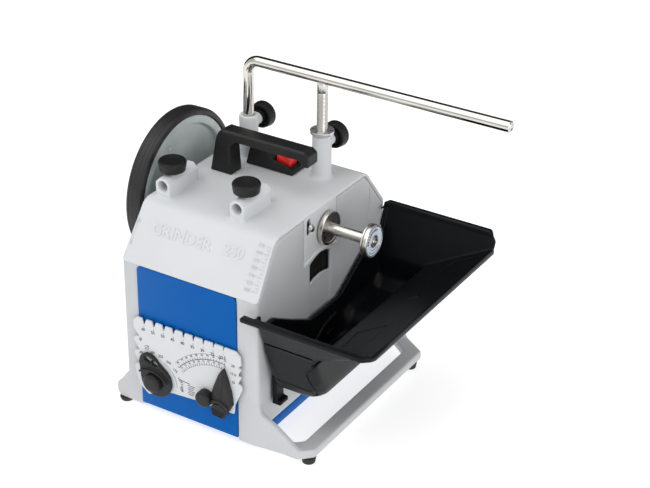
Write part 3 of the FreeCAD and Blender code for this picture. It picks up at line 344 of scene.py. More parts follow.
def meet(first, second, radius=0.0):
    """Where both are, with the edge rounded."""
    if not radius:
        return np.maximum(first, second)
    corner = np.hypot(np.maximum(radius + first, 0), np.maximum(radius + second, 0))
    return np.minimum(-radius, np.maximum(first, second)) + corner


def join(first, second, radius=0.0):
    """Where either is, with the inner corner filleted."""
    if not radius:
        return np.minimum(first, second)
    corner = np.hypot(np.maximum(radius - first, 0), np.maximum(radius - second, 0))
    return np.maximum(radius, np.minimum(first, second)) - corner


def less(first, second, radius=0.0):
    """The first with the second cut out of it."""
    return meet(first, -second, radius)


def cad_field(node, step):
    """The distance field of a CAD node."""
    mesh = frame["nodes"][node].data
    points = np.empty(len(mesh.vertices) * 3, np.float32)
    mesh.vertices.foreach_get("co", points)
    points = (points.reshape(-1, 3) / MM - DATUM).astype(np.float32)
    mesh.calc_loop_triangles()
    triangles = np.empty(len(mesh.loop_triangles) * 3, np.int32)
    mesh.loop_triangles.foreach_get("vertices", triangles)
    field = Field(points.min(0), points.max(0), step)
    grid = openvdb.FloatGrid.createLevelSetFromPolygons(
        points, triangles=triangles.reshape(-1, 3).astype(np.uint32),
        transform=openvdb.createLinearTransform(voxelSize=step), halfWidth=MARGIN)
    field.values = np.empty(field.size, np.float32)
    grid.copyToArray(field.values, ijk=field.start)
    return field


def blur(values, times):
    """Round every edge a little: a small smoothing kernel along each axis."""
    for _ in range(times):
        for axis in range(3):
            ahead = np.roll(values, -1, axis)
            behind = np.roll(values, 1, axis)
            values = (values * 2 + ahead + behind) / 4
    return values


def skin(name, field, slot, body, stands_for=(), adaptivity=0.1):
    """The surface of a field as a piece.  A higher adaptivity merges more of the flat cells."""
    band = BAND * field.step
    grid = openvdb.FloatGrid(background=band)
    grid.transform = openvdb.createLinearTransform(voxelSize=field.step)
    values = np.clip(np.broadcast_to(field.values, field.size), -band, band).astype(np.float32)
    grid.copyFromArray(np.ascontiguousarray(values), ijk=field.start, tolerance=0.0)
    points, triangles, quads = grid.convertToPolygons(isovalue=0.0, adaptivity=adaptivity)
    faces = [face[::-1] for face in quads.tolist() + triangles.tolist()]
    return build(name, points, faces, slot, body, stands_for, 50)


# -------- stage

FLOOR_REACH = 12.0
FLOOR_GREY = 0.55
FLOOR_GLOW = 0.70
WORLD_STOPS = ((0.0, 1.0), (0.35, 1.0), (0.62, 0.85), (0.80, 0.45), (1.0, 0.35))
WORLD_STRENGTH = 0.66
LAMP_TARGET = (0, 0, 0.15)


def sheet(name, corners):
    """A flat four-cornered piece of the stage, in metres."""
    mesh = bpy.data.meshes.new(name)
    mesh.from_pydata(corners, [], [(0, 1, 2, 3)])
    obj = bpy.data.objects.new(name, mesh)
    link(obj)
    return obj


def stage():
    """A white floor that glows a little, so that it stays white where the machine shades it."""
    reach = FLOOR_REACH
    floor = sheet("floor", [(-reach, -reach, 0), (reach, -reach, 0), (reach, reach, 0), (-reach, reach, 0)])
    material, _, node = shader("floor_white")
    node.inputs["Base Color"].default_value = (FLOOR_GREY, FLOOR_GREY, FLOOR_GREY, 1)
    node.inputs["Roughness"].default_value = 0.9
    node.inputs["Specular IOR Level"].default_value = 0.1
    node.inputs["Emission Color"].default_value = (1, 1, 1, 1)
    node.inputs["Emission Strength"].default_value = FLOOR_GLOW
    floor.data.materials.append(material)


def lamp(name, place, size, power):
    """A square area lamp turned to the machine; place and size in metres, power in watts."""
    light = bpy.data.lights.new(name, "AREA")
    light.shape = "RECTANGLE"
    light.size = light.size_y = size
    light.energy = power
    obj = bpy.data.objects.new(name, light)
    obj.location = place
    obj.rotation_euler = (Vector(LAMP_TARGET) - Vector(place)).to_track_quat("-Z", "Y").to_euler()
    link(obj)


def lights():
    """A studio world that is bright below and dim overhead, three soft lamps and a dark card."""
    world = bpy.data.worlds.new("studio")
    bpy.context.scene.world = world
    world.use_nodes = True
    tree = world.node_tree
    background = tree.nodes["Background"]
    coordinates = tree.nodes.new("ShaderNodeTexCoord")
    parts = tree.nodes.new("ShaderNodeSeparateXYZ")
    ramp = tree.nodes.new("ShaderNodeValToRGB")
    tree.links.new(coordinates.outputs["Generated"], parts.inputs["Vector"])
    tree.links.new(parts.outputs["Z"], ramp.inputs["Fac"])
    elements = ramp.color_ramp.elements
    elements[0].position, elements[1].position = WORLD_STOPS[0][0], WORLD_STOPS[-1][0]
    for place, _ in WORLD_STOPS[1:-1]:
        elements.new(place)
    for element, (_, level) in zip(elements, WORLD_STOPS):
        element.color = (level, level, level, 1)
    tree.links.new(ramp.outputs["Color"], background.inputs["Color"])
    background.inputs["Strength"].default_value = WORLD_STRENGTH
    lamp("key", (-0.8, -1.7, 2.1), 2.0, 12)
    lamp("top", (-0.5, -0.4, 2.3), 2.4, 29)
    lamp("right", (2.0, -0.9, 0.9), 1.4, 17)
    dark_card()


def dark_card():
    """A dark card behind the machine that only mirrors see: it draws the dark edge along bright metal."""
    card = sheet("card", [(-3.4, -0.2, 0.0), (1.4, 3.2, 0.0), (1.0, 2.6, 3.2), (-3.0, -0.4, 3.2)])
    material, _, node = shader("card_black")
    node.inputs["Base Color"].default_value = (0.01, 0.01, 0.01, 1)
    node.inputs["Roughness"].default_value = 1.0
    card.data.materials.append(material)
    card.visible_camera = card.visible_diffuse = card.visible_shadow = False


VIEW_TURN, VIEW_RISE, VIEW_ROLL = 31.53, 29.02, 0.72
VIEW_DISTANCE = 1.89987
VIEW_AIM = (-0.04697, 0.07652, 0.13428)
VIEW_LENS = 95.25


def camera():
    """The camera stands at the front right and looks down at the machine."""
    turn, rise, roll = (math.radians(value) for value in (VIEW_TURN, VIEW_RISE, VIEW_ROLL))
    aim = Vector(VIEW_AIM) + Vector(DATUM * MM)
    back = Vector((math.sin(turn) * math.cos(rise), -math.cos(turn) * math.cos(rise), math.sin(rise)))
    level = Vector((math.cos(turn), math.sin(turn), 0))
    upright = back.cross(level)
    right = level * math.cos(roll) + upright * math.sin(roll)
    up = upright * math.cos(roll) - level * math.sin(roll)
    data = bpy.data.cameras.new("camera")
    data.lens = VIEW_LENS
    data.sensor_width = 36.0
    data.clip_end = 100
    obj = bpy.data.objects.new("camera", data)
    obj.matrix_world = Matrix((right, up, back)).transposed().to_4x4()
    obj.location = aim + back * VIEW_DISTANCE
    link(obj)
    bpy.context.scene.camera = obj


# -------- kept CAD nodes

WELD_REACH = 0.00001
EDGE_BEVEL = 0.0004
FLAT_ANGLE, EDGE_ANGLE = 1.0, 35


def kept_nodes():
    """CAD nodes that keep their shape get their material, and a small bevel where they show."""
    slots = {part["node"]: part["material_slot"] for part in frame["record"]["subparts"]}
    for name, obj in frame["nodes"].items():
        if obj.hide_render:
            continue
        obj.data.materials.clear()
        obj.data.materials.append(FINISH[slots[name]])
        obj.data.shade_smooth()
        weld = obj.modifiers.new("weld", "WELD")
        weld.merge_threshold = WELD_REACH
        flatten = obj.modifiers.new("flatten", "DECIMATE")
        flatten.decimate_type = "DISSOLVE"
        flatten.angle_limit = math.radians(FLAT_ANGLE)
        edge = obj.modifiers.new("edge", "BEVEL")
        edge.width = EDGE_BEVEL
        edge.segments = 2
        edge.limit_method = "ANGLE"
        edge.angle_limit = math.radians(EDGE_ANGLE)
        edge.harden_normals = True


# -------- casting and frames

KNEE_Z = 176.5
WALL_X = 0.0
FRONT_Y = -132.0
BACK_Y = 120.0
LEFT_X, RIGHT_X = -166.5, 3.0


def crisp_knee(field, sharp, soft):
    """Keep the joint between top and side frames a hairline: no rounding within a few millimetres of it."""
    share = np.clip((np.abs(field.z - KNEE_Z) - 1.0) / 4.0, 0, 1)
    return soft * share + sharp * (1 - share)


def softened(name, node, step, times, slot, body, edit=None, knee=False):
    """A CAD node with all its edges rounded by blur passes, and with the small details that edit adds."""
    field = cad_field(node, step)
    sharp = field.values
    field.values = blur(sharp, times)
    if knee:
        field.values = crisp_knee(field, sharp, field.values)
    if edit:
        field.values = edit(field)
    return skin(name, field, slot, body, (node,))


TONGUE_SIDES = (-40.0, 23.5)
TONGUE_HEIGHT = (175.5, 229.6)
TONGUE_LIP = rounded([(-39.4, 176.2), (-24, 180.6), (-8, 182.2), (8, 180.6), (22.9, 176.2)], 30, False)


def seams(field):
    """Narrow grooves beside the shaft tongue on the right wall."""
    sides = np.minimum(*[np.abs(field.y - side) for side in TONGUE_SIDES]) - 0.55
    wall = np.maximum(field.slab("Z", *TONGUE_HEIGHT), field.slab("X", WALL_X - 1.2, WALL_X + 4))
    return np.maximum(sides, wall)


def casting():
    """The top casting: its plan draws in a little between the ends, and a lip arches over the shaft tongue."""
    def edit(field):
        wall_left, waist_front, waist_back = LEFT_X + 3, -100, 92
        plan = rounded([(LEFT_X, FRONT_Y), (RIGHT_X, FRONT_Y), (WALL_X, waist_front), (WALL_X, waist_back),
                        (RIGHT_X, BACK_Y), (LEFT_X, BACK_Y), (wall_left, waist_back), (wall_left, waist_front)],
                       [5, 5, 40, 40, 5, 5, 40, 40])
        values = meet(field.values, field.flat("XY", plan))
        lip = np.maximum(strip(field.y, field.z, TONGUE_LIP) - 1.3, field.slab("X", WALL_X - 2.0, WALL_X + 1.5))
        return less(join(values, lip, 0.6), seams(field))
    softened("cast_top", "top_casting", 0.8, 2, "cast_paint", "housing", edit, knee=True)


def frames():
    """The side frames: the right one has a sunk panel with a rim over it, and a groove down its rear."""
    def right_edit(field):
        groove_line = rounded([(70, 229.5), (79, 229.5), (91, 217), (91, 20)], [0, 6, 10, 0], False)
        groove = np.maximum(strip(field.y, field.z, groove_line) - 0.6, np.abs(field.x - WALL_X) - 1.2)
        recess = rounded([(-27.6, 40), (11.6, 40), (11.6, 149), (2, 151.6), (-8, 152.8), (-18, 151.6),
                          (-27.6, 149)], [0, 0, 1, 20, 30, 20, 1])
        recess = np.maximum(field.flat("YZ", recess), WALL_X - 1.8 - field.x)
        values = less(less(field.values, groove, 0.3), recess, 0.4)
        rim = np.maximum(strip(field.y, field.z, [(-27.6, 147.6), (-18, 150.2), (-8, 151.4), (2, 150.2),
                                                  (11.6, 147.6)]) - 1.2, field.slab("X", -3.5, WALL_X - 0.2))
        return less(join(values, rim, 0.5), seams(field))
    softened("frame_right", "right_side_frame", 0.9, 3, "frame_plastic", "housing", right_edit, knee=True)
    softened("frame_left", "left_side_frame", 0.9, 3, "frame_plastic", "housing", knee=True)


# -------- print and raised marks

class Marks:
    """Thin raised strokes and numbers on a flat face, gathered into one mesh.
    u and v are millimetres along the face; thickness stands out of it."""

    def __init__(self, origin, right, up, thickness):
        self.origin, self.right, self.up = (np.array(item, float) for item in (origin, right, up))
        self.right = self.right / np.linalg.norm(self.right)
        self.up = self.up / np.linalg.norm(self.up)
        self.out = np.cross(self.right, self.up)
        self.thickness = thickness
        self.points, self.faces = [], []

    def place(self, u, v, w):
        """The point at u, v on the face and w out of it."""
        return self.origin + self.right * u + self.up * v + self.out * w

    def ribbon(self, line, width, closed=False):
        """A stroke of one width along a line of (u, v) points."""
        line = [np.array(spot, float) for spot in line]
        base = len(self.points)
        count = len(line)
        for index, spot in enumerate(line):
            before = line[index - 1] if closed or index else spot
            after = line[(index + 1) % count] if closed or index < count - 1 else spot
            ahead = (after - before) / max(np.linalg.norm(after - before), 1e-9)
            side = np.array((-ahead[1], ahead[0])) * width / 2
            for edge, height in ((side, 0), (-side, 0), (-side, self.thickness), (side, self.thickness)):
                self.points.append(self.place(*(spot + edge), height))
        for index in range(count if closed else count - 1):
            here, there = base + index * 4, base + (index + 1) % count * 4
            for a, b in ((0, 1), (1, 2), (2, 3), (3, 0)):
                self.faces.append((here + a, there + a, there + b, here + b))
        if not closed:
            self.faces.append((base, base + 1, base + 2, base + 3))
            last = base + (count - 1) * 4
            self.faces.append((last + 3, last + 2, last + 1, last))

    def arc(self, centre, radius, start, stop, width, steps=40):
        """A curved stroke; angles in degrees from +u."""
        line = []
        for step in range(steps + 1):
            angle = math.radians(start + (stop - start) * step / steps)
            line.append((centre[0] + radius * math.cos(angle), centre[1] + radius * math.sin(angle)))
        self.ribbon(line, width)

    def write(self, text, u, v, size, turn=0.0):
        """Centred figures, turned by an angle in degrees."""
        curve = bpy.data.curves.new("figures", "FONT")
        curve.body = text
        curve.size = size
        curve.align_x = "CENTER"
        curve.align_y = "CENTER"
        curve.resolution_u = 2
        curve.offset = 0.02 * size
        curve.extrude = self.thickness / 2
        obj = bpy.data.objects.new("figures", curve)
        link(obj)
        mesh = bpy.data.meshes.new_from_object(obj.evaluated_get(bpy.context.evaluated_depsgraph_get()))
        cos, sin = math.cos(math.radians(turn)), math.sin(math.radians(turn))
        base = len(self.points)
        for vertex in mesh.vertices:
            x, y, z = vertex.co
            self.points.append(self.place(u + x * cos - y * sin, v + x * sin + y * cos, z + self.thickness / 2))
        for face in mesh.polygons:
            self.faces.append([base + index for index in face.vertices])
        bpy.data.objects.remove(obj)
        bpy.data.curves.remove(curve)
        bpy.data.meshes.remove(mesh)

    def build(self, name, slot, body, material=None):
        """The gathered strokes as one piece with sharp edges."""
        return build(name, self.points, self.faces, slot, body, (), 0, material)


SLOPE_TOP = (-93.0, 233.0)
MARK_TALL, MARK_SUNK = 0.9, 0.25
LARGEST_STONE, STONE_STEP = 250, 10
SCALE_ROWS = (12.0, 19.3, 27.0, 34.9, 42.7, 50.6, 58.6)


def casting_marks():
    """The raised stone-size scale, a turning arrow and plain lettering, cast into the front slope."""
    foot, head = np.array((FRONT_Y, KNEE_Z)), np.array(SLOPE_TOP)
    slope = head - foot
    marks = Marks((0, foot[0], foot[1]), (1, 0, 0), (0, slope[0], slope[1]), MARK_TALL)
    marks.origin = marks.origin - marks.out * MARK_SUNK
    number_u, long_u, short_u, end_u = -13.2, -7.4, -4.4, -1.6
    for turn, v in enumerate(SCALE_ROWS):
        marks.write(str(LARGEST_STONE - turn * STONE_STEP), number_u, v, 5.0)
        marks.ribbon([(long_u, v), (end_u, v)], 0.7)
        if turn:
            between = (v + SCALE_ROWS[turn - 1]) / 2
            marks.ribbon([(short_u, between), (end_u, between)], 0.6)
    marks.write("GRINDER", -105, 41.5, 17.5)
    marks.write("250", -41, 43.5, 16.5)
    marks.ribbon(rounded([(-161, 18), (-161.6, 32), (-160.4, 47)], 40, False), 0.9)
    marks.ribbon([(-162.8, 42.5), (-160.3, 48), (-157.4, 43.5)], 0.9)
    marks.build("cast_marks", "cast_paint", "housing")


# -------- handle and switch

def handle():
    """The carrying handle with its top edges bevelled, the switch case and the rocker."""
    grip_y, grip_half, grip_top, bevel = 8.0, 10.0, 283.5, 2.2

    def edit(field):
        side = np.abs(field.y - grip_y) - grip_half
        top = field.z - grip_top
        return np.maximum(field.values, (side + top + bevel) / math.sqrt(2))
    softened("grip", "carry_handle", 0.5, 3, "black_plastic", "housing", edit)
    softened("switch_case", "switch_housing", 0.5, 3, "black_plastic", "housing")
    softened("rocker", "switch_rocker", 0.4, 2, "red_plastic", "switch")


# -------- knobs

KNOB_RIBS = 30
KNOB_RIB_DEEP = 0.22


def knob(name, node, axis, body):
    """A turned knob: hollow below, a flared and finely ribbed rim, and a softly domed top."""
    low, high = low_high(node)
    start = (low + high) / 2
    third = AXES[axis][2]
    start[third] = low[third]
    length = high[third] - low[third]
    wide = (high[AXES[axis][0]] - low[AXES[axis][0]]) / 2
    corners = [(0, 4.2), (0, 7.5), (6.5, 7.5), (6.5, wide - 4.6), (2.5, wide - 4.0), (2.5, wide - 1.5),
               (length - 2.4, wide - 0.1), (length - 0.5, wide - 1.5), (length - 1.0, wide - 3.4),
               (length - 0.2, 5.0), (length, 0)]
    profile = rounded(corners, [0, 0.5, 1.5, 1.5, 0.8, 0.8, 2.0, 0.8, 1.2, 4, 0], closed=False, steps=4)

    def ribs(angle, along, radius):
        on_rim = abs(along - length / 2 - 0.5) < length / 2 - 1.2 and radius > wide - 1.7
        if not on_rim:
            return radius
        return radius - KNOB_RIB_DEEP * (0.5 - 0.5 * math.cos(angle * KNOB_RIBS)) ** 2
    lathe(name, profile, start, axis, "knob_plastic", body, (node,), 240, ribs, 50)


def knobs():
    """The four lock knobs: two at the back of the upright sleeves, two on top of the level sleeves."""
    for side in ("left", "right"):
        knob("back_grip_" + side, "rear_knob_" + side, "Y", "rear_lock_" + side)
        knob("front_grip_" + side, "front_knob_" + side, "Z", "front_lock_" + side)


# -------- tool rest

REST_RAD = 6.0
BEND = 14.0
BEND_STEPS = 24
BAR_STEPS = 64


def support_bar():
    """One bright rod: up, round the bend and out to its chamfered end."""
    low, high = low_high("support_bar")
    left, depth, top = low[0] + REST_RAD, (low[1] + high[1]) / 2, high[2] - REST_RAD
    spots = [(left, low[2], (0, 1)), (left, top - BEND, (0, 1))]
    for step in range(1, BEND_STEPS):
        angle = math.pi / 2 * step / BEND_STEPS
        spots.append((left + BEND - BEND * math.cos(angle), top - BEND + BEND * math.sin(angle),
                      (math.sin(angle), math.cos(angle))))
    spots += [(left + BEND, top, (1, 0)), (high[0] - 1.2, top, (1, 0))]
    rings = [(x, z, ahead, REST_RAD) for x, z, ahead in spots]
    end = high[0]
    rings += [(end - 0.3, top, (1, 0), 5.2), (end, top, (1, 0), 4.9), (end, top, (1, 0), 3.6),
              (end - 0.7, top, (1, 0), 3.3), (end - 0.7, top, (1, 0), 0.0)]
    steps = BAR_STEPS
    points, faces = [], []
    for x, z, ahead, radius in rings:
        for step in range(steps):
            angle = TURN * step / steps
            side = radius * math.cos(angle)
            points.append((x - ahead[1] * side, depth + radius * math.sin(angle), z + ahead[0] * side))
    for ring in range(len(rings) - 1):
        for step in range(steps):
            after = (step + 1) % steps
            faces.append((ring * steps + step, ring * steps + after, (ring + 1) * steps + after,
                          (ring + 1) * steps + step))
    faces.append(list(range(steps)))
    build("bright_bar", points, faces, "bright_chrome", "tool_rest", ("support_bar",), 40)


def threaded_leg():
    """The right leg: a fine thread with a plain neck under the arm."""
    low, high = low_high("threaded_leg")
    start = (low + high) / 2
    start[2] = low[2]
    length = high[2] - low[2]
    pitch, neck, thread_deep = 1.5, 13.0, 0.42
    thread_end = length - neck
    profile = [(0, 0), (0, 5.4)]
    count = int((thread_end - 1) / (pitch / 5))
    profile += [(0.6 + step * pitch / 5, REST_RAD) for step in range(count)]
    profile += [(thread_end, 5.5), (thread_end + 0.6, 5.9), (length - 1.2, 5.9), (length, 5.3), (length, 0)]

    def thread(angle, along, radius):
        if not 0.5 < along < thread_end - 0.5 or radius < REST_RAD:
            return radius
        share = (along / pitch - angle / TURN) % 1
        return radius - thread_deep * abs(share * 2 - 1)
    lathe("adjusting_leg", profile, start, "Z", "stainless", "tool_rest", ("threaded_leg",), 60, thread, 60)


def height_nut():
    """The turned nut under the arm, with six printed strokes on its top."""
    low, high = low_high("height_adjust_nut")
    start = (low + high) / 2
    start[2] = low[2]
    tall = high[2] - low[2]
    profile = closed_profile([(0, 6.1), (0, 10.4), (1.4, 11.6), (1.4, 12.6), (tall, 13.0), (tall, 7.0),
                              (tall - 0.8, 6.1)], 0.35)
    lathe("rest_nut", profile, start, "Z", "nut_zinc", "height_nut", ("height_adjust_nut",), 120)
    marks = Marks((start[0], start[1], high[2] - 0.02), (1, 0, 0), (0, 1, 0), 0.06)
    strokes = 6
    for turn in range(strokes):
        angle = TURN * (turn + 0.3) / strokes
        cos, sin = math.cos(angle), math.sin(angle)
        marks.ribbon([(8.4 * cos, 8.4 * sin), (11.4 * cos, 11.4 * sin)], 1.3)
    marks.build("rest_nut_marks", "nut_zinc", "height_nut", INK)


# -------- shaft, flange, nut, wheel

SHAFT_START = (0, 0, SHAFT_Z)


def shaft():
    """The stone shaft with its centred tip, and the flange."""
    low, high = low_high("main_shaft")
    tip = high[0]
    profile = [(low[0], 0), (low[0], 5.2), (low[0] + 0.8, 6), (tip - 2.6, 6), (tip - 2.0, 5.4),
               (tip - 2.0, 4.2), (tip - 0.4, 4.2), (tip, 3.8), (tip, 1.9), (tip - 1.5, 1.0), (tip - 1.5, 0)]
    lathe("stone_shaft", profile, SHAFT_START, "X", "stainless", "spindle", ("main_shaft",), 64)

    low, high = low_high("stone_flange")
    face = high[0]
    profile = closed_profile([(low[0], 6.0), (low[0], 9.0), (face - 5, 9.0), (face - 5, 18.5), (face, 18.5),
                              (face, 15.6), (face - 0.5, 15.2), (face - 0.5, 6.0)], 0.45)
    lathe("flange", profile, SHAFT_START, "X", "stainless", "spindle", ("stone_flange",), 128)


def hand_nut():
    """The quick nut, its sunk label ring and the label's printed arcs."""
    low, high = low_high("quick_nut")
    near, far = low[0], high[0]
    front = low_high("nut_label_ring")[1][0]
    profile = closed_profile([(near, 6.1), (near, 16.8), (near + 1.0, 18.0), (front - 0.7, 18.0), (front, 17.3),
                              (front, 16.7), (far, 16.4), (far, 7.0), (front + 0.3, 6.6), (front + 0.3, 5.4),
                              (front - 1.6, 4.7), (near + 4.5, 4.7), (near + 4.5, 6.1)], 0.25)
    lathe("nut_body", profile, SHAFT_START, "X", "stainless", "quick_nut", ("quick_nut",), 128)
    profile = closed_profile([(far, 7.2), (far, 16.2), (front - 0.15, 16.2), (front - 0.15, 7.2)], 0.05)
    lathe("nut_label", profile, SHAFT_START, "X", "label", "quick_nut", ("nut_label_ring",), 128)
    marks = Marks((front - 0.17, 0, SHAFT_Z), (0, 1, 0), (0, 0, 1), 0.05)
    marks.arc((0, 0), 15.7, 0, 359.9, 0.7, 120)
    for turn in range(9):
        start = 62 + turn * 13.5
        marks.arc((0, 0), 12.4, start, start + 10.0, 3.0 if turn % 3 else 2.2, 6)
    for turn in range(11):
        start = 222 + turn * 9.0
        marks.arc((0, 0), 13.2, start, start + 5.6, 1.1, 4)
    marks.arc((0, 0), 9.6, 235, 305, 0.7, 20)
    marks.build("nut_marks", "label", "quick_nut", INK)


WEB_X = -181.5
RIM_X = -176.5
RIM_RAD = 77.5
RIVET = (-23, 51)
TYRE_GROOVES = (-190.8, -185.7, -180.6)


def wheel():
    """The drive wheel with a rivet on its web, and the rubber tyre with three shallow grooves."""
    left, right = low_high("drive_wheel")
    web_left, hub = left[0] + 6, right[0]
    profile = closed_profile([(left[0], 6), (left[0], 16), (web_left, 20), (web_left, 66), (left[0], 68.5),
                              (left[0], RIM_RAD), (RIM_X, RIM_RAD), (RIM_X, 68.5), (WEB_X, 66.5), (WEB_X, 20),
                              (hub, 16), (hub, 6)], 1.2)
    lathe("wheel_disc", profile, SHAFT_START, "X", "wheel_zinc", "spindle", ("drive_wheel",), 160)
    profile = rounded([(-0.6, 2.9), (0.4, 2.9), (2.0, 2.2), (2.4, 0)], 0.6, closed=False)
    rivet_start = (WEB_X, RIVET[0], SHAFT_Z + RIVET[1])
    lathe("wheel_rivet", [(-0.6, 0)] + profile, rivet_start, "X", "wheel_zinc", "spindle", (), 32)

    low, high = low_high("drive_tyre")
    outer = (high[1] - low[1]) / 2
    ridge = []
    for centre in TYRE_GROOVES:
        ridge += [(centre - 0.9, outer), (centre - 0.4, outer - 0.3), (centre + 0.4, outer - 0.3),
                  (centre + 0.9, outer)]
    near = [(low[0] + 1.0, RIM_RAD), (low[0], 78.6), (low[0], outer - 3.2), (low[0] + 1.2, outer - 0.9),
            (low[0] + 3.2, outer)]
    far = [(high[0] - 3.2, outer), (high[0] - 1.2, outer - 0.9), (high[0], outer - 3.2), (high[0], 78.6),
           (high[0] - 1.0, RIM_RAD)]
    profile = closed_profile(near + ridge + far, 0.3)
    lathe("tyre", profile, SHAFT_START, "X", "tyre_rubber", "spindle", ("drive_tyre",), 200)


# -------- trough

TROUGH_CELL = 0.9
TROUGH_WALL = 3.0
SLOPED_TOP = [(-170, 161.6), (-146, 163.2), (122, 183.5), (160, 186), (160, 240), (-170, 240)]
CORNER_TRIM = [(131.5, 184.5), (141, 172), (200, 172), (200, 230), (131.5, 230)]
RAMP_RECESSES = ([(84, -104), (112, -96), (112, -58), (80, -66)],
                 [(96, 62), (124, 70), (126, 104), (100, 96)])
RAMP_BOSS, BOSS_RAD, BOSS_LIMIT = (104.0, 10.0), 3.6, 165.0
FAR_EDGE_X = 139.6
FRONT_LIP = (159.2, 164.2)
BACK_LIP = (179.5, 183.6)
HOOK_FRONTS, HOOK_WIDE = (-107.0, -6.0), 15
HOOK_OUTLINE = [(3.4, 46), (14.4, 46), (14.4, 51), (9.0, 52), (9.0, 80), (3.4, 80)]


def trough_outside(field):
    """The outside: the side outline met with the end outline, with corners that grow softer low down."""
    side = rounded([(-150.5, 190), (-124, 127), (-118, 88), (-110, 72), (-96, 60), (12, 60), (22, 68), (32, 88),
                    (92, 88), (104, 102), (104, 127), (126.7, 190)],
                   [0, 16, 20, 20, 20, 16, 16, 16, 10, 12, 10, 0])
    end = rounded([(3.4, 60), (48, 60), (60, 67), (66, 80), (66, 127), (195.2, 190), (3.4, 190)],
                  [6, 18, 18, 16, 7, 0, 0])
    edge = 5 + 11 * np.clip((118 - field.z) / 30, 0, 1)
    first, second = field.flat("YZ", side), field.flat("XZ", end)
    corner = np.hypot(np.maximum(edge + first, 0), np.maximum(edge + second, 0))
    return np.minimum(-edge, np.maximum(first, second)) + corner


def trough_rims(field, outer):
    """The thin shell with its sloped top, the beaded dip in the wall beside the machine, and both lips."""
    shell = less(outer, outer + TROUGH_WALL)
    above = field.flat("YZ", SLOPED_TOP)
    shell = less(shell, above, 0.8)
    shell = meet(shell, field.x - FAR_EDGE_X, 0.8)
    trim = field.flat("XZ", CORNER_TRIM)
    shell = less(shell, trim, 0.8)
    dip = rounded([(-130, 200), (-130, 147), (-107, 148), (-73, 129), (-38, 111), (21, 111), (68, 140),
                   (108, 158), (118, 186), (118, 200)], [0, 3, 8, 30, 20, 25, 40, 6, 0, 0])
    dip_far = field.flat("YZ", dip)
    shell = less(shell, np.maximum(dip_far, field.x - 9.0), 0.8)
    bead = np.maximum(np.abs(dip_far + 0.6) - 1.6, field.slab("X", 3.4, 8.2))
    bead = np.maximum(np.maximum(bead, field.slab("Y", -127.0, 104.0)), -above)
    shell = join(shell, bead, 1.0)

    plan = rounded([(-10, -144.5), (129, -144.5), (140, -135), (140, 117), (135.4, 117), (135.4, -133),
                    (127, -139), (-10, -136.5)], [1, 10, 12, 1, 0.5, 6, 6, 0.5])
    shell = join(shell, meet(field.flat("XY", plan), field.slab("Z", *FRONT_LIP), 1.0), 1.5)
    back_lip = np.maximum(np.abs(outer + 1.4) - 2.2, field.slab("Z", *BACK_LIP))
    back_lip = np.maximum(back_lip, np.maximum(106.0 - field.y, 6.0 - field.x))
    return less(join(shell, less(back_lip, above), 0.8), trim, 0.8)


def trough_relief(field, shell, outer):
    """The groove and sunk panel of the front wall, the inner ridge, two recesses and a boss on the ramp."""
    groove_line = rounded([(7.5, 130), (63, 130), (66.5, 124.5), (54, 109), (60, 88), (58, 76)],
                          [0, 3, 4, 8, 20, 0], False)
    groove = np.maximum(strip(field.x, field.z, groove_line) - 1.1, np.maximum(-outer - 2.0, field.y + 95.0))
    shell = less(shell, groove, 0.5)
    panel = field.flat("XZ", rounded([(8, 84), (58, 84), (53, 107), (64, 126), (62, 128.5), (8, 128.5)], 3))
    panel = np.maximum(panel, np.maximum(-outer - 1.0, field.y + 95.0))
    shell = less(shell, panel, 0.5)

    ridge_line = rounded([(-88, 76), (-52, 77), (-30, 80), (-12, 92), (12, 96)], 20, False)
    ridge = np.maximum(strip(field.y, field.z, ridge_line) - 1.5, field.slab("X", 5.0, 8.6))
    shell = join(shell, ridge, 1.2)
    ramp_top = -(outer + TROUGH_WALL)
    for outline in RAMP_RECESSES:
        recess = np.maximum(field.flat("XY", rounded(outline, 3)), np.abs(ramp_top) - 0.8)
        shell = less(shell, recess, 0.4)
    boss = np.maximum(field.tube("Z", RAMP_BOSS, BOSS_RAD), np.abs(ramp_top) - 1.2)
    boss = np.maximum(boss, field.z - BOSS_LIMIT)
    return join(shell, boss, 0.6)


def trough():
    """One thin moulded shell: deep bowl in front, ledge behind, shallow ramp, upright back wall, two hooks."""
    low, high = low_high("water_trough")
    field = Field(low - 2, high + 2, TROUGH_CELL)
    outer = trough_outside(field)
    shell = trough_relief(field, trough_rims(field, outer), outer)
    for front in HOOK_FRONTS:
        hook = field.flat("XZ", rounded(HOOK_OUTLINE, 0.8))
        shell = join(shell, np.maximum(field.slab("Y", front, front + HOOK_WIDE), hook), 1.0)
    field.values = shell
    skin("trough_shell", field, "trough_plastic", "trough", ("water_trough",), 0.05)


# -------- gauge

PLATE_Y = -136.9
CAM = (-123.3, 46.1)
PIVOT = (-41.0, 40.0)
FAN = (-41, 31)
FAN_START, FAN_STOP, FAN_STEP = 84, 141, 3


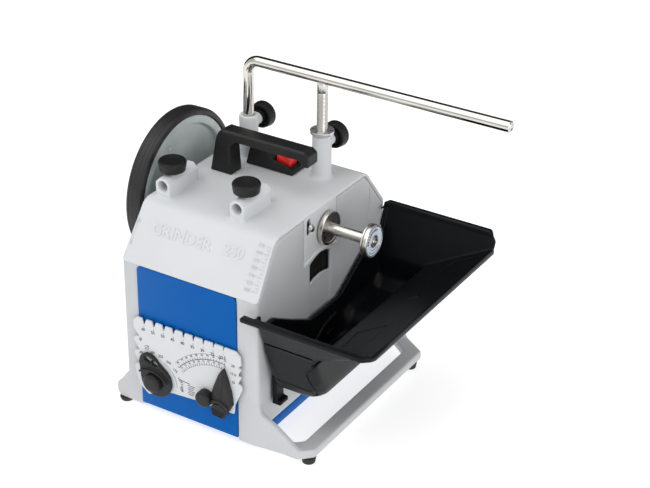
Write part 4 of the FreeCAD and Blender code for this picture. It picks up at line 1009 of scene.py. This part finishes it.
def gauge():
    """The white scale plate with its print, the diameter dial and the angle pointer."""
    softened("scale_plate", "gauge_plate", 0.4, 1, "gauge_white", "gauge")
    marks = Marks((0, PLATE_Y + 0.02, 0), (1, 0, 0), (0, 0, 1), 0.10)
    top = ("60", "55", "50", "45", "40", "35", "30", "25", "22.5")
    for turn, text in enumerate(top):
        x = -136.5 + turn * 12.6
        marks.write(text, x - 1.0, 104.2, 5.0, 8)
        marks.ribbon([(x, 107.0), (x, 109.0)], 0.35)
    for turn, text in enumerate(("75", "70", "65")):
        marks.write(text, -141.5, 57.0 + turn * 17, 4.6, 60)
    for turn, text in enumerate(("20", "17.5", "15")):
        marks.write(text, -24.0, 98.6 - turn * 10, 4.4)
    for radius, width in ((72.5, 0.3), (66.0, 0.7), (59.5, 0.3)):
        marks.arc(FAN, radius, FAN_START, FAN_STOP, width)
    for turn in range(20):
        degrees = FAN_START + turn * FAN_STEP
        cos, sin = math.cos(math.radians(degrees)), math.sin(math.radians(degrees))
        for inner, outer in ((66.4, 68.4), (59.8, 62.2)):
            marks.ribbon([(FAN[0] + inner * cos, FAN[1] + inner * sin),
                          (FAN[0] + outer * cos, FAN[1] + outer * sin)], 0.5)
        if turn % 2 == 0:
            marks.write(str(10 + turn * 4), FAN[0] + 70.6 * cos, FAN[1] + 70.8 * sin, 3.2, degrees - 90)
            marks.write(str(75 - turn * 3), FAN[0] + 63.9 * cos, FAN[1] + 63.8 * sin, 3.0, degrees - 90)
    for turn, text in enumerate(("250", "225", "200", "175", "150", "125")):
        degrees = 96 - turn * 19
        angle = math.radians(degrees)
        spot = (CAM[0] + 33 * math.cos(angle), CAM[1] + 33 * math.sin(angle))
        if spot[0] < -84:
            marks.write(text, *spot, 4.2, degrees - 90 + 20)
    marks.arc(CAM, 27.5, 0, 66, 0.35, 24)
    marks.arc((-133.6, 83.4), 2.4, 0, 359.9, 0.45, 24)
    marks.ribbon([(-136.4, 80.6), (-130.8, 86.2)], 0.45)
    for row in range(6):
        z = 55.0 - row * 2.2
        marks.ribbon([(-90.5, z), (-88.0, z)], 0.7)
        marks.ribbon([(-82.0 + row % 2, z - 0.6), (-73.0 - row % 3, z - 0.6)], 0.7)
    marks.ribbon([(-90.5, 57.4), (-79.0, 56.6)], 0.8)
    marks.build("scale_print", "gauge_white", "gauge", INK)
    cam()
    pointer()


def cam():
    """The stone-diameter dial: a black plate with a window, a raised fin and a domed knob."""
    low, high = low_high("diameter_cam")
    front, back = low[1], high[1]
    field = Field((low[0] - 1, front - 4, low[2] - 1), (high[0] + 1, back + 1, high[2] + 1), 0.4)
    disc = field.tube("Y", (CAM[1] + 2, CAM[0] + 2.6), 19.5)
    nose = field.tube("Y", (CAM[1] + 21, CAM[0] - 7), 11.5)
    flank = field.flat("XZ", rounded([(CAM[0] - 16.9, CAM[1] + 2), (CAM[0] + 8, CAM[1] - 4),
                                      (CAM[0] + 20.6, CAM[1] + 10), (CAM[0] + 2.2, CAM[1] + 28),
                                      (CAM[0] - 18.5, CAM[1] + 21)], 2))
    shape = join(join(disc, nose, 6.0), flank, 2.0)
    body = meet(shape, np.maximum(front - field.y, field.y - back), 1.0)
    window = strip(field.x, field.z, [(CAM[0] + 2.5, CAM[1] + 22.5), (CAM[0] - 8.5, CAM[1] + 26.0)]) - 3.1
    bridge = strip(field.x, field.z, [(CAM[0] - 3.2, CAM[1] + 18), (CAM[0] - 2.4, CAM[1] + 24.5)]) - 0.8
    body = less(body, np.maximum(less(window, bridge), front + 1.2 - field.y - 4), 0.5)
    fin = np.maximum(np.abs(field.tube("Y", (CAM[1] - 12, CAM[0] - 2), 26.0)) - 1.1,
                     np.maximum(front - 3.2 - field.y, field.y - back))
    fin = np.maximum(fin, np.maximum(shape + 0.6, -(field.z - CAM[1] - 4)))
    body = join(body, fin, 1.0)
    field.values = np.maximum(body, -field.tube("Y", (CAM[1], CAM[0]), 3.05))
    skin("dial_plate", field, "black_plastic", "gauge_cam", ("diameter_cam",), 0.1)
    low, high = low_high("cam_knob")
    deep = high[1] - low[1]
    profile = rounded([(0, 0), (0.2, 7.5), (1.6, 10.4), (deep - 0.6, 10.9), (deep, 9.5), (deep, 0)],
                      [0, 5, 1.2, 0.6, 0.4, 0], False)
    lathe("dial_knob", profile, (CAM[0], low[1], CAM[1]), "Y", "black_plastic", "gauge_cam", ("cam_knob",), 96)


def pointer():
    """The angle pointer: a ridged arrow with a curved band, a ribbed grip and a round clamp knob."""
    low, high = low_high("angle_pointer")
    front, back = low[1], high[1]
    x, z = PIVOT[0], PIVOT[1] - 9
    field = Field((low[0] - 1, front - 3, low[2] - 1), (high[0] + 1, back + 1, high[2] + 1), 0.4)
    outline = [(-8, 2), (6, -1), (18, 21), (16, 36), (11, 53), (7, 63), (1, 54), (-6, 36), (-9, 25), (-10, 15)]
    blade = field.flat("XZ", rounded([(x + right, z + up) for right, up in outline],
                                     [1, 1, 3, 20, 20, 1.5, 10, 20, 5, 5]))
    slope = (blade + (front + 1.2 - field.y) * 0.9) / math.sqrt(1 + 0.81) + 0.4
    body = meet(np.maximum(blade, slope), np.maximum(front - field.y, field.y - back), 0.6)
    shaft = strip(field.x, field.z, [(x + 4.5, z + 24), (x + 6.6, z + 58)]) - 0.7
    body = join(body, np.maximum(np.maximum(shaft, blade + 0.8), front - 0.8 - field.y), 0.8)
    band = np.abs(field.tube("Y", (z + 6, x + 1), 15.0)) - 1.8
    band = np.maximum(np.maximum(band, blade + 0.2), front - 1.6 - field.y)
    body = join(body, np.maximum(band, field.y - back), 0.6)
    gap = np.maximum(np.abs(field.tube("Y", (z + 6, x + 1), 11.6)) - 0.5, front + 1.6 - field.y - 3)
    body = np.maximum(body, -gap)
    for turn in range(3):
        rib = np.abs(field.z - z - 3.2 - turn * 2.6 + (field.x - x) * 0.12) - 0.55
        rib = np.maximum(rib, front - 1.0 - field.y)
        body = join(body, np.maximum(np.maximum(rib, blade + 1.5), field.y - back), 0.3)
    arm = np.maximum(np.maximum(field.slab("X", x - 18, x - 4), field.slab("Z", z + 14, z + 23)),
                     np.maximum(front + 2 - field.y, field.y - back))
    field.values = np.maximum(join(body, arm, 0.8), field.y - back)
    skin("arrow", field, "black_plastic", "gauge_pointer", ("angle_pointer",), 0.1)
    low, high = low_high("pointer_knob")
    deep = back - low[1]
    profile = rounded([(0, 0), (0.3, 7.0), (1.4, 9.1), (deep - 0.4, 9.4), (deep, 8.5), (deep, 0)],
                      [0, 4, 1.0, 0.5, 0.3, 0], False)
    knob_middle = (low + high) / 2

    def scallop(angle, along, radius):
        return radius - (0.3 * (0.5 - 0.5 * math.cos(angle * 20)) if radius > 8.8 else 0)
    start = (knob_middle[0], low[1], knob_middle[2])
    lathe("arrow_knob", profile, start, "Y", "black_plastic", "gauge_pointer", ("pointer_knob",), 160, scallop)


stage()
lights()
camera()
bpy.context.scene.view_settings.view_transform = "Standard"
casting()
casting_marks()
frames()
handle()
knobs()
support_bar()
threaded_leg()
height_nut()
shaft()
hand_nut()
wheel()
trough()
gauge()
kept_nodes()
